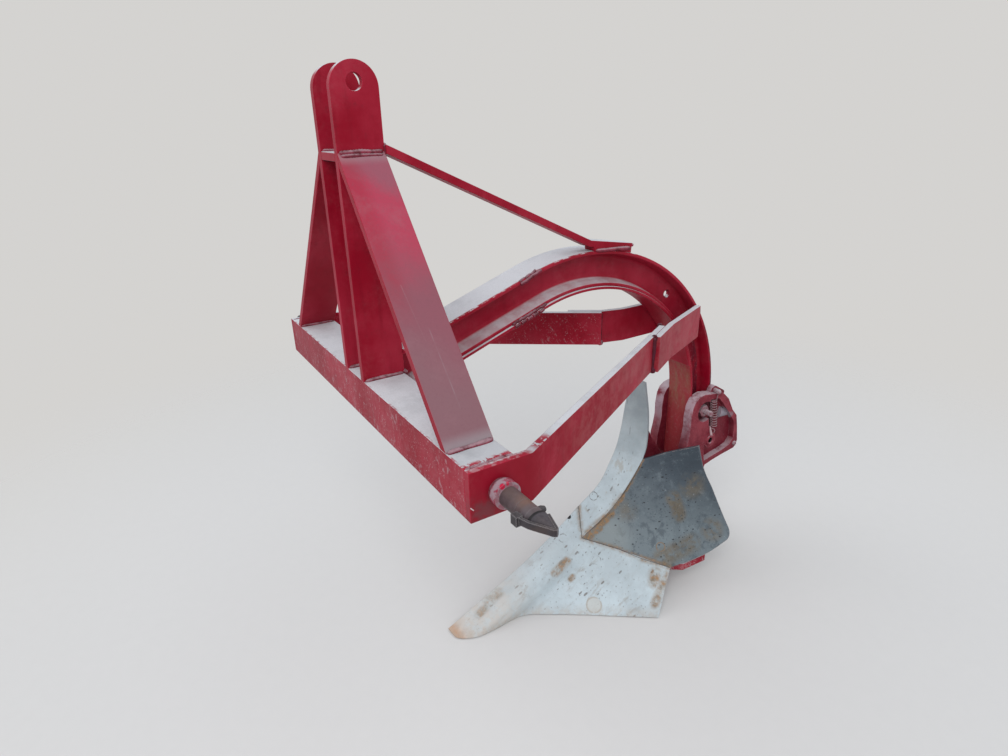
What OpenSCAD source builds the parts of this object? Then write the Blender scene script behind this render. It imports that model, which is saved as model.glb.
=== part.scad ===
// Single-furrow mounted plough with a curved beam and a truncated mouldboard.
// Left-hand bottom: +X is the plough's left, +Y its rear, +Z up.
// Within the modules y = 0 is the front face of the toolbar, x = 0 its middle and z = 0 the ground.

/* [Lift linkage] */
// Outside width over the two side arms at the lift pins
lift_spread = 825; // [780:5:870]
// Diameter of the lift pins
lift_pin_d = 28.6; // [22:0.1:36.6]
// Length of a lift pin outside its side arm
lift_pin_reach = 84; // [70:1:110]
// Height of the top link hole above the lift pins
mast_h = 508; // [440:1:560]
// Diameter of the top link hole
top_link_d = 25.7; // [19.5:0.1:32]
// Clear gap between the two uprights
mast_gap = 67; // [50:1:90]

/* [Frame bars] */
// Side of the square toolbar and width of the flat bars
bar_w = 76.2; // [63.5:0.1:88.9]
// Thickness of the flat bars
bar_t = 12.7; // [9.5:0.1:16]
// Wall of the square toolbar
tube_wall = 6.4; // [4:0.1:10]
// Height of the toolbar's underside above the ground
clearance_h = 610; // [560:5:660]
// Outer x of the legs where they meet the toolbar
leg_foot_x = 350.7; // [300:1:380]
// Height of the leg tops above the toolbar
leg_rise = 372; // [330:1:400]

/* [Beam] */
// Middle plane of the beam, left of the plough's middle
beam_x = 18; // [12:0.5:30]
// Depth of the beam's I section
beam_d = 72; // [62:0.5:84]
// Flange width of the I section
beam_flange_w = 73; // [60:0.5:80]
// Flange thickness
beam_flange_t = 9; // [6:0.5:12]
// Web thickness
beam_web_t = 8; // [6:0.5:14]
// Outer radius of the beam's bend
beam_r = 405.7; // [365:0.1:446]
// Slope of the straight front part in degrees
beam_slope = 19.1; // [17:0.1:21]
// Thickness of the strap that lines the inside of the bend
strap_t = 6; // [3:0.5:8]

/* [Bottom] */
// Plane of the landside's outer face
landside_x = -20; // [-30:1:-10]
// Thickness of the share and the mouldboard
plate_t = 9.5; // [8:0.1:12.7]
// Length of the landside
landside_l = 500; // [420:5:540]
// Height of the landside
landside_h = 105; // [90:1:130]

/* [Hidden] */
$fn = 48;
fit_gap = 0.3;
pin_gap = 0.15;
rolled_fit = 0.02;

bar_z0 = clearance_h;
bar_z1 = bar_z0 + bar_w;
half_spread = lift_spread / 2;
lift_pin_y = 46;
lift_pin_z = bar_z0 + bar_w / 2;
top_hole_z = lift_pin_z + mast_h;
ear_r = bar_w / 2;
ear_top_z = top_hole_z + ear_r - 8;
leg_top_z = bar_z1 + leg_rise;
upright_x0 = mast_gap / 2;
upright_x1 = upright_x0 + bar_t;

// Beam: the shank's rear face, its lower end and the height of the beam's top at the toolbar stay put
shank_y1 = 890.2;
shank_end_z = 262;
beam_front_z = 731.5;
bend_c = [
    shank_y1 - beam_r,
    beam_front_z - beam_r * cos(beam_slope)
        + (shank_y1 - beam_r * (1 + sin(beam_slope)) - bar_w) * tan(beam_slope)
];
beam_x0 = beam_x - beam_flange_w / 2;
beam_x1 = beam_x + beam_flange_w / 2;
shank_y0 = shank_y1 - beam_d;
flange_taper = 2;
root_r = 10;
strap_shift = 4;
strap_end_angle = 16.4;
web_hole_d = 14;
web_hole_angle = 46.6;

// Arms and tails, with columns x, y of their bends
arm_bend_y = 99.5;
lap_l = 76;
near_arm_end = [beam_x1 + 70.9, 636.5];
near_tail_bend = [beam_x1 + 73.1, 660];
near_tail_end = [beam_x1 + 12.3, 809.6];
far_arm_end = [beam_x0 - 15.5, 598];
far_tail_touch = [beam_x0 - fit_gap, 652];
far_tail_end_y = 812;

// Trip head, placed from the shank's rear face and lower end
head_bolt = [shank_y1 - 40.2, shank_end_z + 147];
trip_pivot = [shank_y1 - 78.2, shank_end_z - 50];
cheek_hole = [shank_y1 - 12.2, shank_end_z + 59];
spring_post = [shank_y1 - 1.2, shank_end_z + 191];
rear_bolt = [shank_y1 + 85, shank_end_z + 21];
cheek_depth = 25.3;
cheek_floor = 9.3;
lug_depth = 13.3;
cheek_hole_d = 14;
head_bolt_d = 14;
trip_pin_d = 22;
post_d = 14;
rear_bolt_d = 13;
overall_y = shank_y1 + 96.8;

// Lift pins and linch pins
collar_d = 40;
collar_l = 14.5;
collar_neck_d = 35;
collar_neck_l = 6;
nose_x = half_spread + 56;
nose_d = lift_pin_d - 1;
nose_chamfer = 6;
linch_d = 11;
linch_x = half_spread + 70;
linch_head = [12.6, 10, 14];
bail_t = 4;
bail_h = 10;
bail_rise = 1.5;

// Top brace
brace_w = 31.8;
brace_x = beam_x1 - brace_w / 2;
brace_drop = 14;

// Centres the plough over the ground point that the frame's origin marks
module placed() translate([0, -overall_y / 2, 0]) children();

// Unit vector and its left normal in a plane
function unit(v) = v / norm(v);
function left_of(v) = [-v[1], v[0]];
// Points of a path moved sideways by d, mitred at each bend
function shifted(path, d) = [
    for (i = [0 : len(path) - 1])
        let (
            a = i == 0 ? unit(path[1] - path[0]) : unit(path[i] - path[i - 1]),
            b = i == len(path) - 1 ? a : unit(path[i + 1] - path[i]),
            n = unit(left_of(a) + left_of(b))
        ) path[i] + n * d / (n * left_of(a))
];
function reversed(list) = [for (i = [len(list) - 1 : -1 : 0]) list[i]];
function last(list) = list[len(list) - 1];

// Flat bar on edge that follows a path in plan, t thick to the path's left
module bent_bar(path, t, z0, h)
    translate([0, 0, z0]) linear_extrude(h) polygon(concat(path, reversed(shifted(path, t))));

// Plate drawn in the side view [y, z], from x0 to x1
module side_plate(x0, x1)
    translate([x0, 0, 0]) rotate([90, 0, 90]) linear_extrude(x1 - x0) children();

// Round bar along x at a place [y, z]
module bar_x(x0, x1, at, d)
    translate([x0, at[0], at[1]]) rotate([0, 90, 0]) cylinder(d = d, h = x1 - x0);

// Left or right copy of a piece drawn at the left
module at_side(s) mirror([s < 0 ? 1 : 0, 0, 0]) children();

// Frame

module toolbar()
    color("firebrick") placed() difference() {
        translate([-half_spread + bar_t, 0, bar_z0]) cube([lift_spread - 2 * bar_t, bar_w, bar_w]);
        translate([-half_spread, tube_wall, bar_z0 + tube_wall])
            cube([lift_spread, bar_w - 2 * tube_wall, bar_w - 2 * tube_wall]);
    }

// Side arm from the toolbar's end to its lap, with the lift pin's hole
module side_arm(s, end)
    color("firebrick") placed() at_side(s) difference() {
        bent_bar([[half_spread, 0], [half_spread, arm_bend_y], end], bar_t, bar_z0, bar_w);
        bar_x(half_spread - 2 * bar_t, half_spread + 1, [lift_pin_y, lift_pin_z], lift_pin_d);
    }

// The tails lie on the arms' outer faces over the lap and carry them to the beam's flanges
module arm_tail_left() {
    along = unit(near_arm_end - [half_spread, arm_bend_y]);
    start = near_arm_end - along * lap_l - left_of(along) * (bar_t + rolled_fit);
    color("firebrick") placed() bent_bar([start, near_tail_bend, near_tail_end], bar_t, bar_z0, bar_w);
}

module arm_tail_right() {
    along = unit(far_arm_end - [-half_spread, arm_bend_y]);
    off = left_of(along) * rolled_fit;
    color("firebrick") placed() bent_bar([
        far_arm_end - along * lap_l + off, far_arm_end + off,
        far_tail_touch, [far_tail_touch[0], far_tail_end_y]
    ], bar_t, bar_z0, bar_w);
}

// Mast

module upright(s)
    color("firebrick") placed() at_side(s) difference() {
        union() {
            translate([upright_x0, 0, bar_z1]) cube([bar_t, bar_w, ear_top_z - ear_r - bar_z1]);
            intersection() {
                bar_x(upright_x0, upright_x1, [ear_r, ear_top_z - ear_r], bar_w);
                translate([upright_x0, 0, ear_top_z - ear_r]) cube([bar_t, bar_w, bar_w]);
            }
        }
        bar_x(upright_x0 - 1, upright_x1 + 1, [ear_r, top_hole_z], top_link_d);
    }

module mast_spacer()
    color("firebrick") placed() translate([-upright_x0, 0, leg_top_z - bar_t])
        cube([mast_gap, bar_w, bar_t]);

// Leg from the upright's outer face down to the toolbar
module leg(s) {
    run = leg_foot_x - upright_x1;
    slant = bar_t * norm([run, leg_rise]) / leg_rise;
    drop = bar_t * norm([run, leg_rise]) / run;
    color("firebrick") placed() at_side(s)
        translate([0, bar_w, 0]) rotate([90, 0, 0]) linear_extrude(bar_w) polygon([
            [upright_x1, leg_top_z], [leg_foot_x, bar_z1],
            [leg_foot_x - slant, bar_z1], [upright_x1, leg_top_z - drop]
        ]);
}

// Height of the beam's top over the bend at y
function beam_top(y) = bend_c[1] + sqrt(beam_r * beam_r - pow(y - bend_c[0], 2));

// Flat brace from the left upright's rear edge to the top of the bend, with its packing on the beam
module top_brace() {
    bend = [bend_c[0] + 4.5, beam_top(bend_c[0] + 4.5) + 22.8];
    end = [bend_c[0] + 113.5, beam_top(bend_c[0] + 113.5) + 21];
    top = [[bar_w, leg_top_z + 9.8], bend, end];
    fall = unit(bend - top[0]);
    low = shifted(top, -bar_t);
    color("firebrick") placed() difference() {
        side_plate(brace_x - brace_w / 2, brace_x + brace_w / 2) polygon(concat(
            top, [last(low), [end[0] - 3, beam_top(end[0]) - 10], [bend[0] + 12, beam_top(end[0]) - 10],
            low[1] + [12, -2], low[1]], [top[0] - [0, bar_t / fall[0]]]
        ));
        bar_x(beam_x0, brace_x + brace_w, bend_c, 2 * (beam_r + pin_gap), $fn = 240);
    }
}

// Beam

// Outline of one side of the I section in the bend's radial plane: flanges that thicken to the web
function i_side(inset) =
    let (
        w = beam_flange_w / 2 - inset,
        q = beam_web_t / 2 - inset,
        outer = beam_r - inset,
        inner = beam_r - beam_d + inset,
        edge = beam_flange_t - flange_taper - 2 * inset,
        root = beam_flange_t + flange_taper - 2 * inset
    ) [
        [outer, w], [outer - edge, w], [outer - root, q + root_r],
        [outer - root - 0.3 * root_r, q + 0.3 * root_r], [outer - root - root_r, q],
        [inner + root + root_r, q], [inner + root + 0.3 * root_r, q + 0.3 * root_r],
        [inner + root, q + root_r], [inner + edge, w], [inner, w]
    ];

module i_section(inset = 0)
    polygon(concat(i_side(inset), [for (p = reversed(i_side(inset))) [p[0], -p[1]]]));

// Section of the strap that lines the inner flange, a little off its middle
module strap_section(inset = 0)
    translate([beam_r - beam_d - strap_t - pin_gap + inset, -beam_flange_w / 2 + strap_shift + inset])
        square([strap_t - 2 * inset, beam_flange_w - 2 * inset]);

// Distance from the bend to the toolbar along the slope
front_run = (bend_c[0] - beam_r * sin(beam_slope) - bar_w) / cos(beam_slope);

// Sweeps a section along the beam: the bend from the angle a0, a shank below it and the run forward.
// children(0) is the section, children(1) the same drawn in by rolled_fit for the forward run.
module beam_sweep(a0, shank_l)
    translate([beam_x, bend_c[0], bend_c[1]]) rotate([90, 0, 90]) {
        rotate([0, 0, a0]) rotate_extrude(angle = 90 + beam_slope - a0, $fn = 96) children(0);
        if (shank_l > 0) rotate([90, 0, 0]) linear_extrude(shank_l) children(0);
        rotate([0, 0, 90 + beam_slope]) rotate([90, 0, 180]) mirror([1, 0, 0])
            translate([0, 0, -2]) linear_extrude(front_run + 42) children(1);
    }

// Everything ahead of the toolbar's rear face
module ahead_of_toolbar()
    translate([-half_spread, -200, bar_z0 - 200]) cube([lift_spread, 200 + bar_w, 600]);

module beam() {
    web_hole_r = beam_r - beam_d / 2 + 5.2;
    color("firebrick") placed() difference() {
        beam_sweep(0, bend_c[1] - shank_end_z) {
            i_section();
            i_section(rolled_fit);
        }
        ahead_of_toolbar();
        bar_x(beam_x0, beam_x1, bend_c + web_hole_r * [cos(web_hole_angle), sin(web_hole_angle)], web_hole_d);
        bar_x(beam_x0, beam_x1, head_bolt, head_bolt_d + 2 * pin_gap);
    }
}

module beam_strap()
    color("firebrick") placed() difference() {
        beam_sweep(strap_end_angle, 0) {
            strap_section();
            strap_section(rolled_fit);
        }
        ahead_of_toolbar();
    }

// Lift pins: a collar against the arm, the bearing length, and a slightly thinner nose with the linch pin's hole
module lift_pin(s) {
    at = [lift_pin_y, lift_pin_z];
    end = half_spread + lift_pin_reach;
    color("dimgray") placed() at_side(s) difference() {
        union() {
            bar_x(half_spread - 2 * bar_t, nose_x, at, lift_pin_d);
            bar_x(nose_x, end - nose_chamfer, at, nose_d);
            translate([end - nose_chamfer, at[0], at[1]]) rotate([0, 90, 0])
                cylinder(d1 = nose_d, d2 = nose_d - 10, h = nose_chamfer);
            bar_x(half_spread, half_spread + collar_neck_l + 1, at, collar_neck_d);
            bar_x(half_spread + collar_neck_l, half_spread + collar_neck_l + collar_l, at, collar_d);
        }
        translate([linch_x, lift_pin_y + 30, lift_pin_z]) rotate([90, 0, 0])
            cylinder(d = linch_d + 2 * fit_gap, h = 60);
    }
}

// Linch pin through the lift pin: a head, a shank with a pointed end, and a flat spring clip that runs forward
// from the head round the lift pin's end and stays open there: its inner line, with columns x from the linch pin and
// y from the lift pin
clip_path = [
    [5.8, -17], [9, -16.1], [19.5, -12.8], [31, -6.6], [41, -0.7], [46, 1.7], [47.5, 2.6], [48, 3.4],
    [47.4, 4.1], [46, 4.5], [37.8, 6.9], [26.8, 10.2], [18.8, 12.6]
];
module linch_pin(s) {
    head_y = lift_pin_y - (lift_pin_d + linch_head[1]) / 2;
    tip_y = lift_pin_y + lift_pin_d / 2 + 9;
    color("dimgray") placed() at_side(s) {
        translate([linch_x, head_y, lift_pin_z]) cube(linch_head, center = true);
        translate([linch_x, tip_y - 5, lift_pin_z]) rotate([90, 0, 0])
            cylinder(d = linch_d, h = tip_y - 5 - head_y);
        translate([linch_x, tip_y, lift_pin_z]) rotate([90, 0, 0]) cylinder(d1 = linch_d - 4, d2 = linch_d, h = 5);
        translate([linch_x, lift_pin_y, 0])
            bent_bar(clip_path, -bail_t, lift_pin_z + bail_rise - bail_h / 2, bail_h);
    }
}

// Trip head

// Outline of a cheek in the side view, from the shank's rear face and lower end
cheek_outline = [for (p = [
    [-99, 57], [-93, 83], [-89, 110], [-90, 138], [-86, 168], [-78, 183], [-64, 192], [-48, 195],
    [-22, 190], [-4, 188], [10, 190], [25, 178], [43, 161], [64, 124], [82, 104], [90, 68],
    [96.8, 28], [94, 14], [85, 7], [76, 6], [41, 2], [3, -4], [-23, -10], [-32, -37], [-44, -66],
    [-60, -82], [-82, -87], [-98, -78], [-105, -57], [-102, -12]
]) [shank_y1, shank_end_z] + p];
// The recess in a cheek's outer face
recess_outline = [for (p = [
    [-26, 176], [-6, 175], [8, 171], [24, 153], [43, 130], [60, 108], [72, 92], [78, 66],
    [79, 38], [66, 22], [40, 15], [3, 9], [-27, 3], [-32, 30], [-32, 62], [-20, 85], [-26, 120]
]) [shank_y1, shank_end_z] + p];

// Left cheek with its inner face at x = 0
module cheek_solid() {
    cone_at = [shank_y1 + 22, shank_end_z + 124];
    difference() {
        union() {
            side_plate(0, cheek_depth) polygon(cheek_outline);
            bar_x(0, lug_depth, spring_post + [0, -1], 26);
            bar_x(0, lug_depth, spring_post + [30, -14], 16);
            side_plate(0, lug_depth) translate(spring_post) polygon([[0, -1], [6.9, 10], [34.3, -7.2], [30, -14]]);
        }
        difference() {
            union() {
                side_plate(cheek_floor, cheek_depth + 1) polygon(recess_outline);
                bar_x(cheek_floor, cheek_depth + 1, head_bolt, 54);
            }
            bar_x(0, cheek_depth, cheek_hole, 40);
            side_plate(0, cheek_depth) polygon([for (p = [[-16, 14], [-8, 43], [7, 16]]) cheek_hole + p]);
        }
    }
    difference() {
        translate([cheek_floor - 4, cone_at[0], cone_at[1]]) rotate([-90 - 17, 0, 0])
            cylinder(d1 = 34, d2 = 18, h = 45);
        translate([-30, 0, 0]) cube([30 + cheek_floor - 2, 1200, 600]);
    }
}

module cheek(s)
    color("brown") placed() translate([beam_x, 0, 0]) at_side(s)
        translate([beam_flange_w / 2 + pin_gap, 0, 0]) difference() {
            cheek_solid();
            bar_x(-1, cheek_depth, head_bolt, head_bolt_d + 2 * pin_gap);
            bar_x(-1, cheek_depth + 1, cheek_hole, cheek_hole_d);
            bar_x(-1, cheek_depth + 1, trip_pivot, trip_pin_d + 2 * pin_gap);
            bar_x(-1, cheek_depth + 1, rear_bolt, rear_bolt_d + 2 * pin_gap);
            bar_x(-1, cheek_depth + 1, spring_post, post_d + 2 * pin_gap);
        }

// Round bar along x at a place [y, z], domed at x1
module domed_bar(x0, x1, at, d)
    translate([x0, at[0], at[1]]) rotate([0, 90, 0]) rotate_extrude() polygon(concat(
        [[0, 0], [d / 2, 0]], [for (a = [0 : 18 : 90]) [d / 2 * cos(a), x1 - x0 - d / 2 * (1 - sin(a))]]
    ));

// Bolts of the head: the head bolt with a nut at each side, the rear bolt, and a spring post at each side
module head_bolts() {
    floor_x = beam_flange_w / 2 + pin_gap + cheek_floor + pin_gap;
    face_x = beam_flange_w / 2 + pin_gap + cheek_depth;
    color("dimgray") placed() translate([beam_x, 0, 0]) {
        bar_x(-face_x - 6, face_x + 10, head_bolt, head_bolt_d);
        for (s = [-1, 1]) at_side(s) {
            translate([floor_x, head_bolt[0], head_bolt[1]]) rotate([0, 90, 0]) cylinder(d = 31, h = 13, $fn = 6);
            domed_bar(beam_flange_w / 2 + 2 * pin_gap, beam_flange_w / 2 + 33, spring_post, post_d);
            domed_bar(0, face_x + 6, rear_bolt, rear_bolt_d);
        }
    }
}

// Round wire swept along a path of points, with rings turned from the direction side
module wire(path, d, side, n = 6) {
    m = len(path);
    rings = [for (i = [0 : m - 1])
        let (
            t = unit(path[min(i + 1, m - 1)] - path[max(i - 1, 0)]),
            a = unit(cross(t, side)),
            b = cross(a, t)
        ) for (k = [0 : n - 1]) path[i] + (a * cos(360 * k / n) + b * sin(360 * k / n)) * d / 2];
    polyhedron(rings, concat(
        [[for (k = [n - 1 : -1 : 0]) k]],
        [for (i = [0 : m - 2]) for (k = [0 : n - 1]) for (f = [0, 1])
            let (p = i * n + k, q = i * n + (k + 1) % n)
            f == 0 ? [p, q, p + n] : [q, q + n, p + n]],
        [[for (k = [0 : n - 1]) (m - 1) * n + k]]
    ));
}

// Coil spring from its post down past the bolt to the hole's boss, in the left cheek's recess
module latch_spring() {
    wire_d = 3;
    coil_r = 8;
    turns = 11;
    steps = 12;
    lie = beam_x1 + pin_gap + cheek_floor + coil_r + wire_d / 2 + 0.5;
    top = [lie, spring_post[0] - 7, spring_post[1] - 23];
    foot = [lie, cheek_hole[0] + 15, cheek_hole[1] + 31];
    axis = unit(foot - top);
    across = unit(cross(axis, [1, 0, 0]));
    color("dimgray") placed() wire(concat(
        [spring_near(lie + 8, -3.1, -6.9), spring_near(lie + 9, -5, -13), spring_near(lie + 6.5, -6.8, -21)],
        [for (i = [0 : turns * steps])
            top + (foot - top) * i / (turns * steps)
            + coil_r * ([1, 0, 0] * sin(360 * i / steps) + across * cos(360 * i / steps))],
        [[lie, cheek_hole[0] + 21, cheek_hole[1] + 21], [lie, cheek_hole[0] + 18.6, cheek_hole[1] + 12]]
    ), wire_d, axis + [0.01, 0, 0]);
}
// Point beside the spring post
function spring_near(x, y, z) = [x, spring_post[0] + y, spring_post[1] + z];

module trip_pin() {
    face_x = beam_flange_w / 2 + cheek_depth + 2 * pin_gap;
    color("dimgray") placed() translate([beam_x, 0, 0]) {
        bar_x(-face_x, face_x, trip_pivot, trip_pin_d);
        for (x = [-face_x - 9, face_x]) bar_x(x, x + 9, trip_pivot, 34);
    }
}

// Bottom

// Point on a smooth curve through listed points, by its share u of the way
function on_curve(points, u) =
    let (
        n = len(points) - 1, i = min(floor(u * n), n - 1), f = u * n - i,
        b = points[i], c = points[i + 1],
        a = i == 0 ? 2 * b - c : points[i - 1],
        d = i == n - 1 ? 2 * c - b : points[i + 2]
    ) b + 0.5 * f * ((c - a) + f * ((2 * a - 5 * b + 4 * c - d) + f * (3 * b - a - 3 * c + d)));

// Two curves joined at the share s of the way
function on_two(first, second, s, u) = u < s ? on_curve(first, u / s) : on_curve(second, (u - s) / (1 - s));

// Point of the surface between four edge points' curves, given at u and v, and its four corners
function patch(b, t, l, r, c00, c10, c01, c11, u, v) =
    b * (1 - v) + t * v + l * (1 - u) + r * u
    - c00 * (1 - u) * (1 - v) - c10 * u * (1 - v) - c01 * (1 - u) * v - c11 * u * v;

// Direction from a plate's face to its back, by place only, so that plates that share a seam part evenly:
// straight back at the landside, then back from the shin, the share low down or the mouldboard higher up
function clamped(v) = min(max(v, 0), 1);
function back_of(p) =
    let (off = clamped((p[0] - landside_x) / 60), up = clamped((p[2] - 60) / 150), high = clamped((p[2] - 200) / 200))
    unit([0, 0.9, -0.43] * (1 - off)
        + ([-0.68, 0.38, -0.63] * (1 - up) + [-0.8, 0.48, -0.36] * up) * off * (1 - high)
        + [-0.5, 0.85, -0.15] * off * high + [0, 0.3, 0.1] * high);

// Plate on a grid of points, t thick on its back
module sheet(grid, t) {
    nu = len(grid[0]);
    nv = len(grid);
    function back(p) = let (q = p + back_of(p) * t) [q[0], q[1], max(q[2], 0)];
    front_points = [for (row = grid) for (p = row) p];
    back_points = [for (p = front_points) back(p)];
    m = nu * nv;
    rim = concat(
        [for (i = [0 : nu - 2]) i], [for (j = [0 : nv - 2]) j * nu + nu - 1],
        [for (i = [nu - 1 : -1 : 1]) (nv - 1) * nu + i], [for (j = [nv - 1 : -1 : 1]) j * nu]
    );
    k = len(rim);
    polyhedron(concat(front_points, back_points), concat(
        [for (j = [0 : nv - 2]) for (i = [0 : nu - 2]) for (f = [0, 1])
            let (a = j * nu + i) f == 0 ? [a, a + nu, a + 1] : [a + 1, a + nu, a + nu + 1]],
        [for (j = [0 : nv - 2]) for (i = [0 : nu - 2]) for (f = [0, 1])
            let (a = m + j * nu + i) f == 0 ? [a, a + 1, a + nu] : [a + 1, a + nu + 1, a + nu]],
        [for (n = [0 : k - 1]) for (f = [0, 1])
            let (a = rim[n], b = rim[(n + 1) % k])
            f == 0 ? [a, b, m + a] : [b, m + b, m + a]]
    ));
}

// Edge lines of the bottom's plates, with columns x, y, z
seam_gap = 0.6;
junction = [landside_x, 533, 197];
throat = [23, 512, 135];
heel = [170, 670, 72];
board_corner = [34, 690, 304];
board_tip = [128, 778, 356];
board_rear = [210, 839, 119];
landside_edge = [[landside_x, 154, 3], [landside_x, 242, 41], [landside_x, 359, 92], [landside_x, 446, 140], junction];
cutting_edge = [[landside_x, 154, 3], [16, 159, 2], [38, 195, 2], [42, 239, 2], [41, 321, 2],
    [75, 381, 2], [116, 440, 2], [170, 512, 2], [224, 584, 2]];
seam = [throat, [85, 580, 111], heel];
shin_seam = [throat, [28, 592, 184], [32, 634, 228], [34, 671, 277], board_corner];
shin_free = [board_corner, [34, 699, 340], [34, 697, 420], [30, 684, 510]];
shin_front = [junction, [landside_x, 596, 239], [landside_x, 628, 289], [landside_x, 647, 325],
    [landside_x, 661, 374], [landside_x, 671, 435], [landside_x, 684, 510]];
board_bottom = [heel, [190, 770, 82], board_rear];
board_right = [board_rear, [170, 834, 179], [150, 818, 236], [131, 803, 285], board_tip];

module share() {
    s = 1 / 3;
    color("lightgray") placed() sheet([for (j = [0 : 12]) [for (i = [0 : 27])
        let (u = i / 27, v = j / 12) patch(
            on_curve(cutting_edge, u), on_two([junction, throat], seam, s, u),
            on_curve(landside_edge, v), on_curve([cutting_edge[8], heel], v),
            cutting_edge[0], cutting_edge[8], junction, heel, u, v
        )]], plate_t);
}

module shin() {
    part = [0, 0.3, 0.95] * seam_gap;
    color("lightgray") placed() sheet([for (j = [0 : 20]) [for (i = [0 : 4])
        let (v = j / 20) (on_curve(shin_front, v) * (1 - i / 4) + on_two(shin_seam, shin_free, 0.5, v) * i / 4)
            + part * (1 - v)]], plate_t);
}

// The mouldboard's edges along the shin and the share are drawn in by the seam
module mouldboard() {
    part = [0.4, 0.8, 0.6] * seam_gap;
    color("slategray") placed() sheet([for (j = [0 : 16]) [for (i = [0 : 20])
        let (u = i / 20, v = j / 16) patch(
            on_two(seam, board_bottom, 0.5, u), on_curve([board_corner, [80, 735, 332], board_tip], u),
            on_curve(shin_seam, v), on_curve(board_right, v),
            throat, board_rear, board_corner, board_tip, u, v
        ) + part * (1 - u) * (1 - v) + part * max(0, 1 - 2 * u) * v + part * (1 - v) * u]], plate_t);
}

// Frog: the plate behind the shin and the share, with the boss that turns on the trip pin
frog_x0 = landside_x + 12;
frog_x1 = frog_x0 + 20;
module frog() {
    // Back of the shin at the frog's left face, from the top down, with columns y, z
    reach = plate_t + fit_gap;
    shin_line = [for (v = [0.96 : -0.08 : 0])
        let (
            far = on_two(shin_seam, shin_free, 0.5, v),
            u = min(1, (frog_x1 + 5 - landside_x) / (far[0] - landside_x)),
            p = on_curve(shin_front, v) * (1 - u) + far * u,
            q = p + back_of(p) * reach
        ) [q[1] + 4 * fit_gap, q[2]]];
    color("firebrick") placed() difference() {
        union() {
            side_plate(frog_x0, frog_x1) polygon(concat(shin_line, [
                [532, 112], [330, 30], [330, 12], [landside_y1 - 88, 12], [landside_y1 - 88, 110],
                trip_pivot + [26, -42], trip_pivot + [28, 0], trip_pivot + [0, 28], trip_pivot + [-37, 78],
                trip_pivot + [-72, 128], trip_pivot + [-96, 173], trip_pivot + [-101, 218], trip_pivot + [-104, 276]
            ]));
            bar_x(beam_x0 + 5, beam_x1 - 5, trip_pivot, 56);
        }
        bar_x(beam_x0, beam_x1, trip_pivot, trip_pin_d + 2 * pin_gap);
    }
}

// Bar from the frog out behind the share's heel and back along the mouldboard's lower edge
module mouldboard_brace()
    color("firebrick") placed() bent_bar([
        [frog_x1 + fit_gap, 641], [frog_x1 + 16, 641], [148, 678], [174, 712], [178, 786]
    ], 10, 48, 19);

landside_y0 = 390;
landside_y1 = landside_y0 + landside_l;
module landside()
    color("gray") placed() side_plate(landside_x, landside_x + 12 - fit_gap) polygon([
        [landside_y0, 0], [landside_y0, landside_h - 35], [landside_y0 + 50, landside_h],
        [landside_y1, landside_h], [landside_y1, 0]
    ]);

module landside_heel()
    color("gray") placed() side_plate(landside_x + 12, landside_x + 32) polygon([
        [landside_y1 - 86, 0], [landside_y1 - 86, 60], [landside_y1, 60], [landside_y1, 0]
    ]);

toolbar();
side_arm(1, near_arm_end);  // side_arm_left
side_arm(-1, [-far_arm_end[0], far_arm_end[1]]);  // side_arm_right
arm_tail_left();
arm_tail_right();
upright(1);  // upright_left
upright(-1);  // upright_right
mast_spacer();
leg(1);  // leg_left
leg(-1);  // leg_right
top_brace();
beam();
beam_strap();
lift_pin(1);  // lift_pin_left
lift_pin(-1);  // lift_pin_right
linch_pin(1);  // linch_pin_left
linch_pin(-1);  // linch_pin_right
cheek(1);  // cheek_left
cheek(-1);  // cheek_right
head_bolts();
latch_spring();
trip_pin();
frog();
share();
shin();
mouldboard();
mouldboard_brace();
landside();
landside_heel();
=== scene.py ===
import math

import bpy
import numpy as np
from mathutils import Matrix, Vector


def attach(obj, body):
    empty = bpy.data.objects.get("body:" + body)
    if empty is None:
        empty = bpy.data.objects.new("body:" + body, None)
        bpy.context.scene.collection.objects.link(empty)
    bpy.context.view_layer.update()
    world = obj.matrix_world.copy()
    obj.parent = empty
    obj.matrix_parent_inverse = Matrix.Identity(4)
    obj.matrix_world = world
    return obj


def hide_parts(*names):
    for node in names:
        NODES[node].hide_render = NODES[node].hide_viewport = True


bl_info = {
    "name": "Moldboard Plough",
    "version": (1, 0, 0),
    "blender": (4, 5, 0),
    "location": "View3D > Sidebar > Plough",
    "description": "Dresses the packed plough: paint, worn steel, welds, bolts and dust",
    "category": "Object",
}

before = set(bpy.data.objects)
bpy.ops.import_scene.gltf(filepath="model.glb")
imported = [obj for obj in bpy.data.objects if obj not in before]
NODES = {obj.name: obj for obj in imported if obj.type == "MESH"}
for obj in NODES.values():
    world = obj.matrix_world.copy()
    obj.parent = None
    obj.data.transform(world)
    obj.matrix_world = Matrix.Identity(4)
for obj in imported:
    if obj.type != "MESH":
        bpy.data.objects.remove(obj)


# Sizes and places of the source in millimetres, with y from the toolbar's front and z from the ground

MIDDLE_Y = 493.5
BAR_W = 76.2
TOOL_TOP, LEG_TOP = 686.2, 1058.2
LEG_FOOT, EAR_FACE, SPACER_END, ARM_FACE = 350.7, 46.2, 33, 399.8
ARM_LOW, ARM_HIGH = 613, 684
LINCH_PIN = (482.5, 46.0, 648.1)

# The beam's middle plane, its depth and width, and its bend about a centre in (y, z)
BEAM_X, BEAM_D, BEAM_W = 18.0, 72.0, 73.0
BEND, BEAM_R, SLOPE = np.array([484.5, 443.52]), 405.7, math.radians(19.1)
SHANK_END, STRAP_START = 262.0, math.radians(16.4)
WEB_HOLE_R, WEB_HOLE_TURN = BEAM_R - BEAM_D / 2 + 5.2, 46.6

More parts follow.
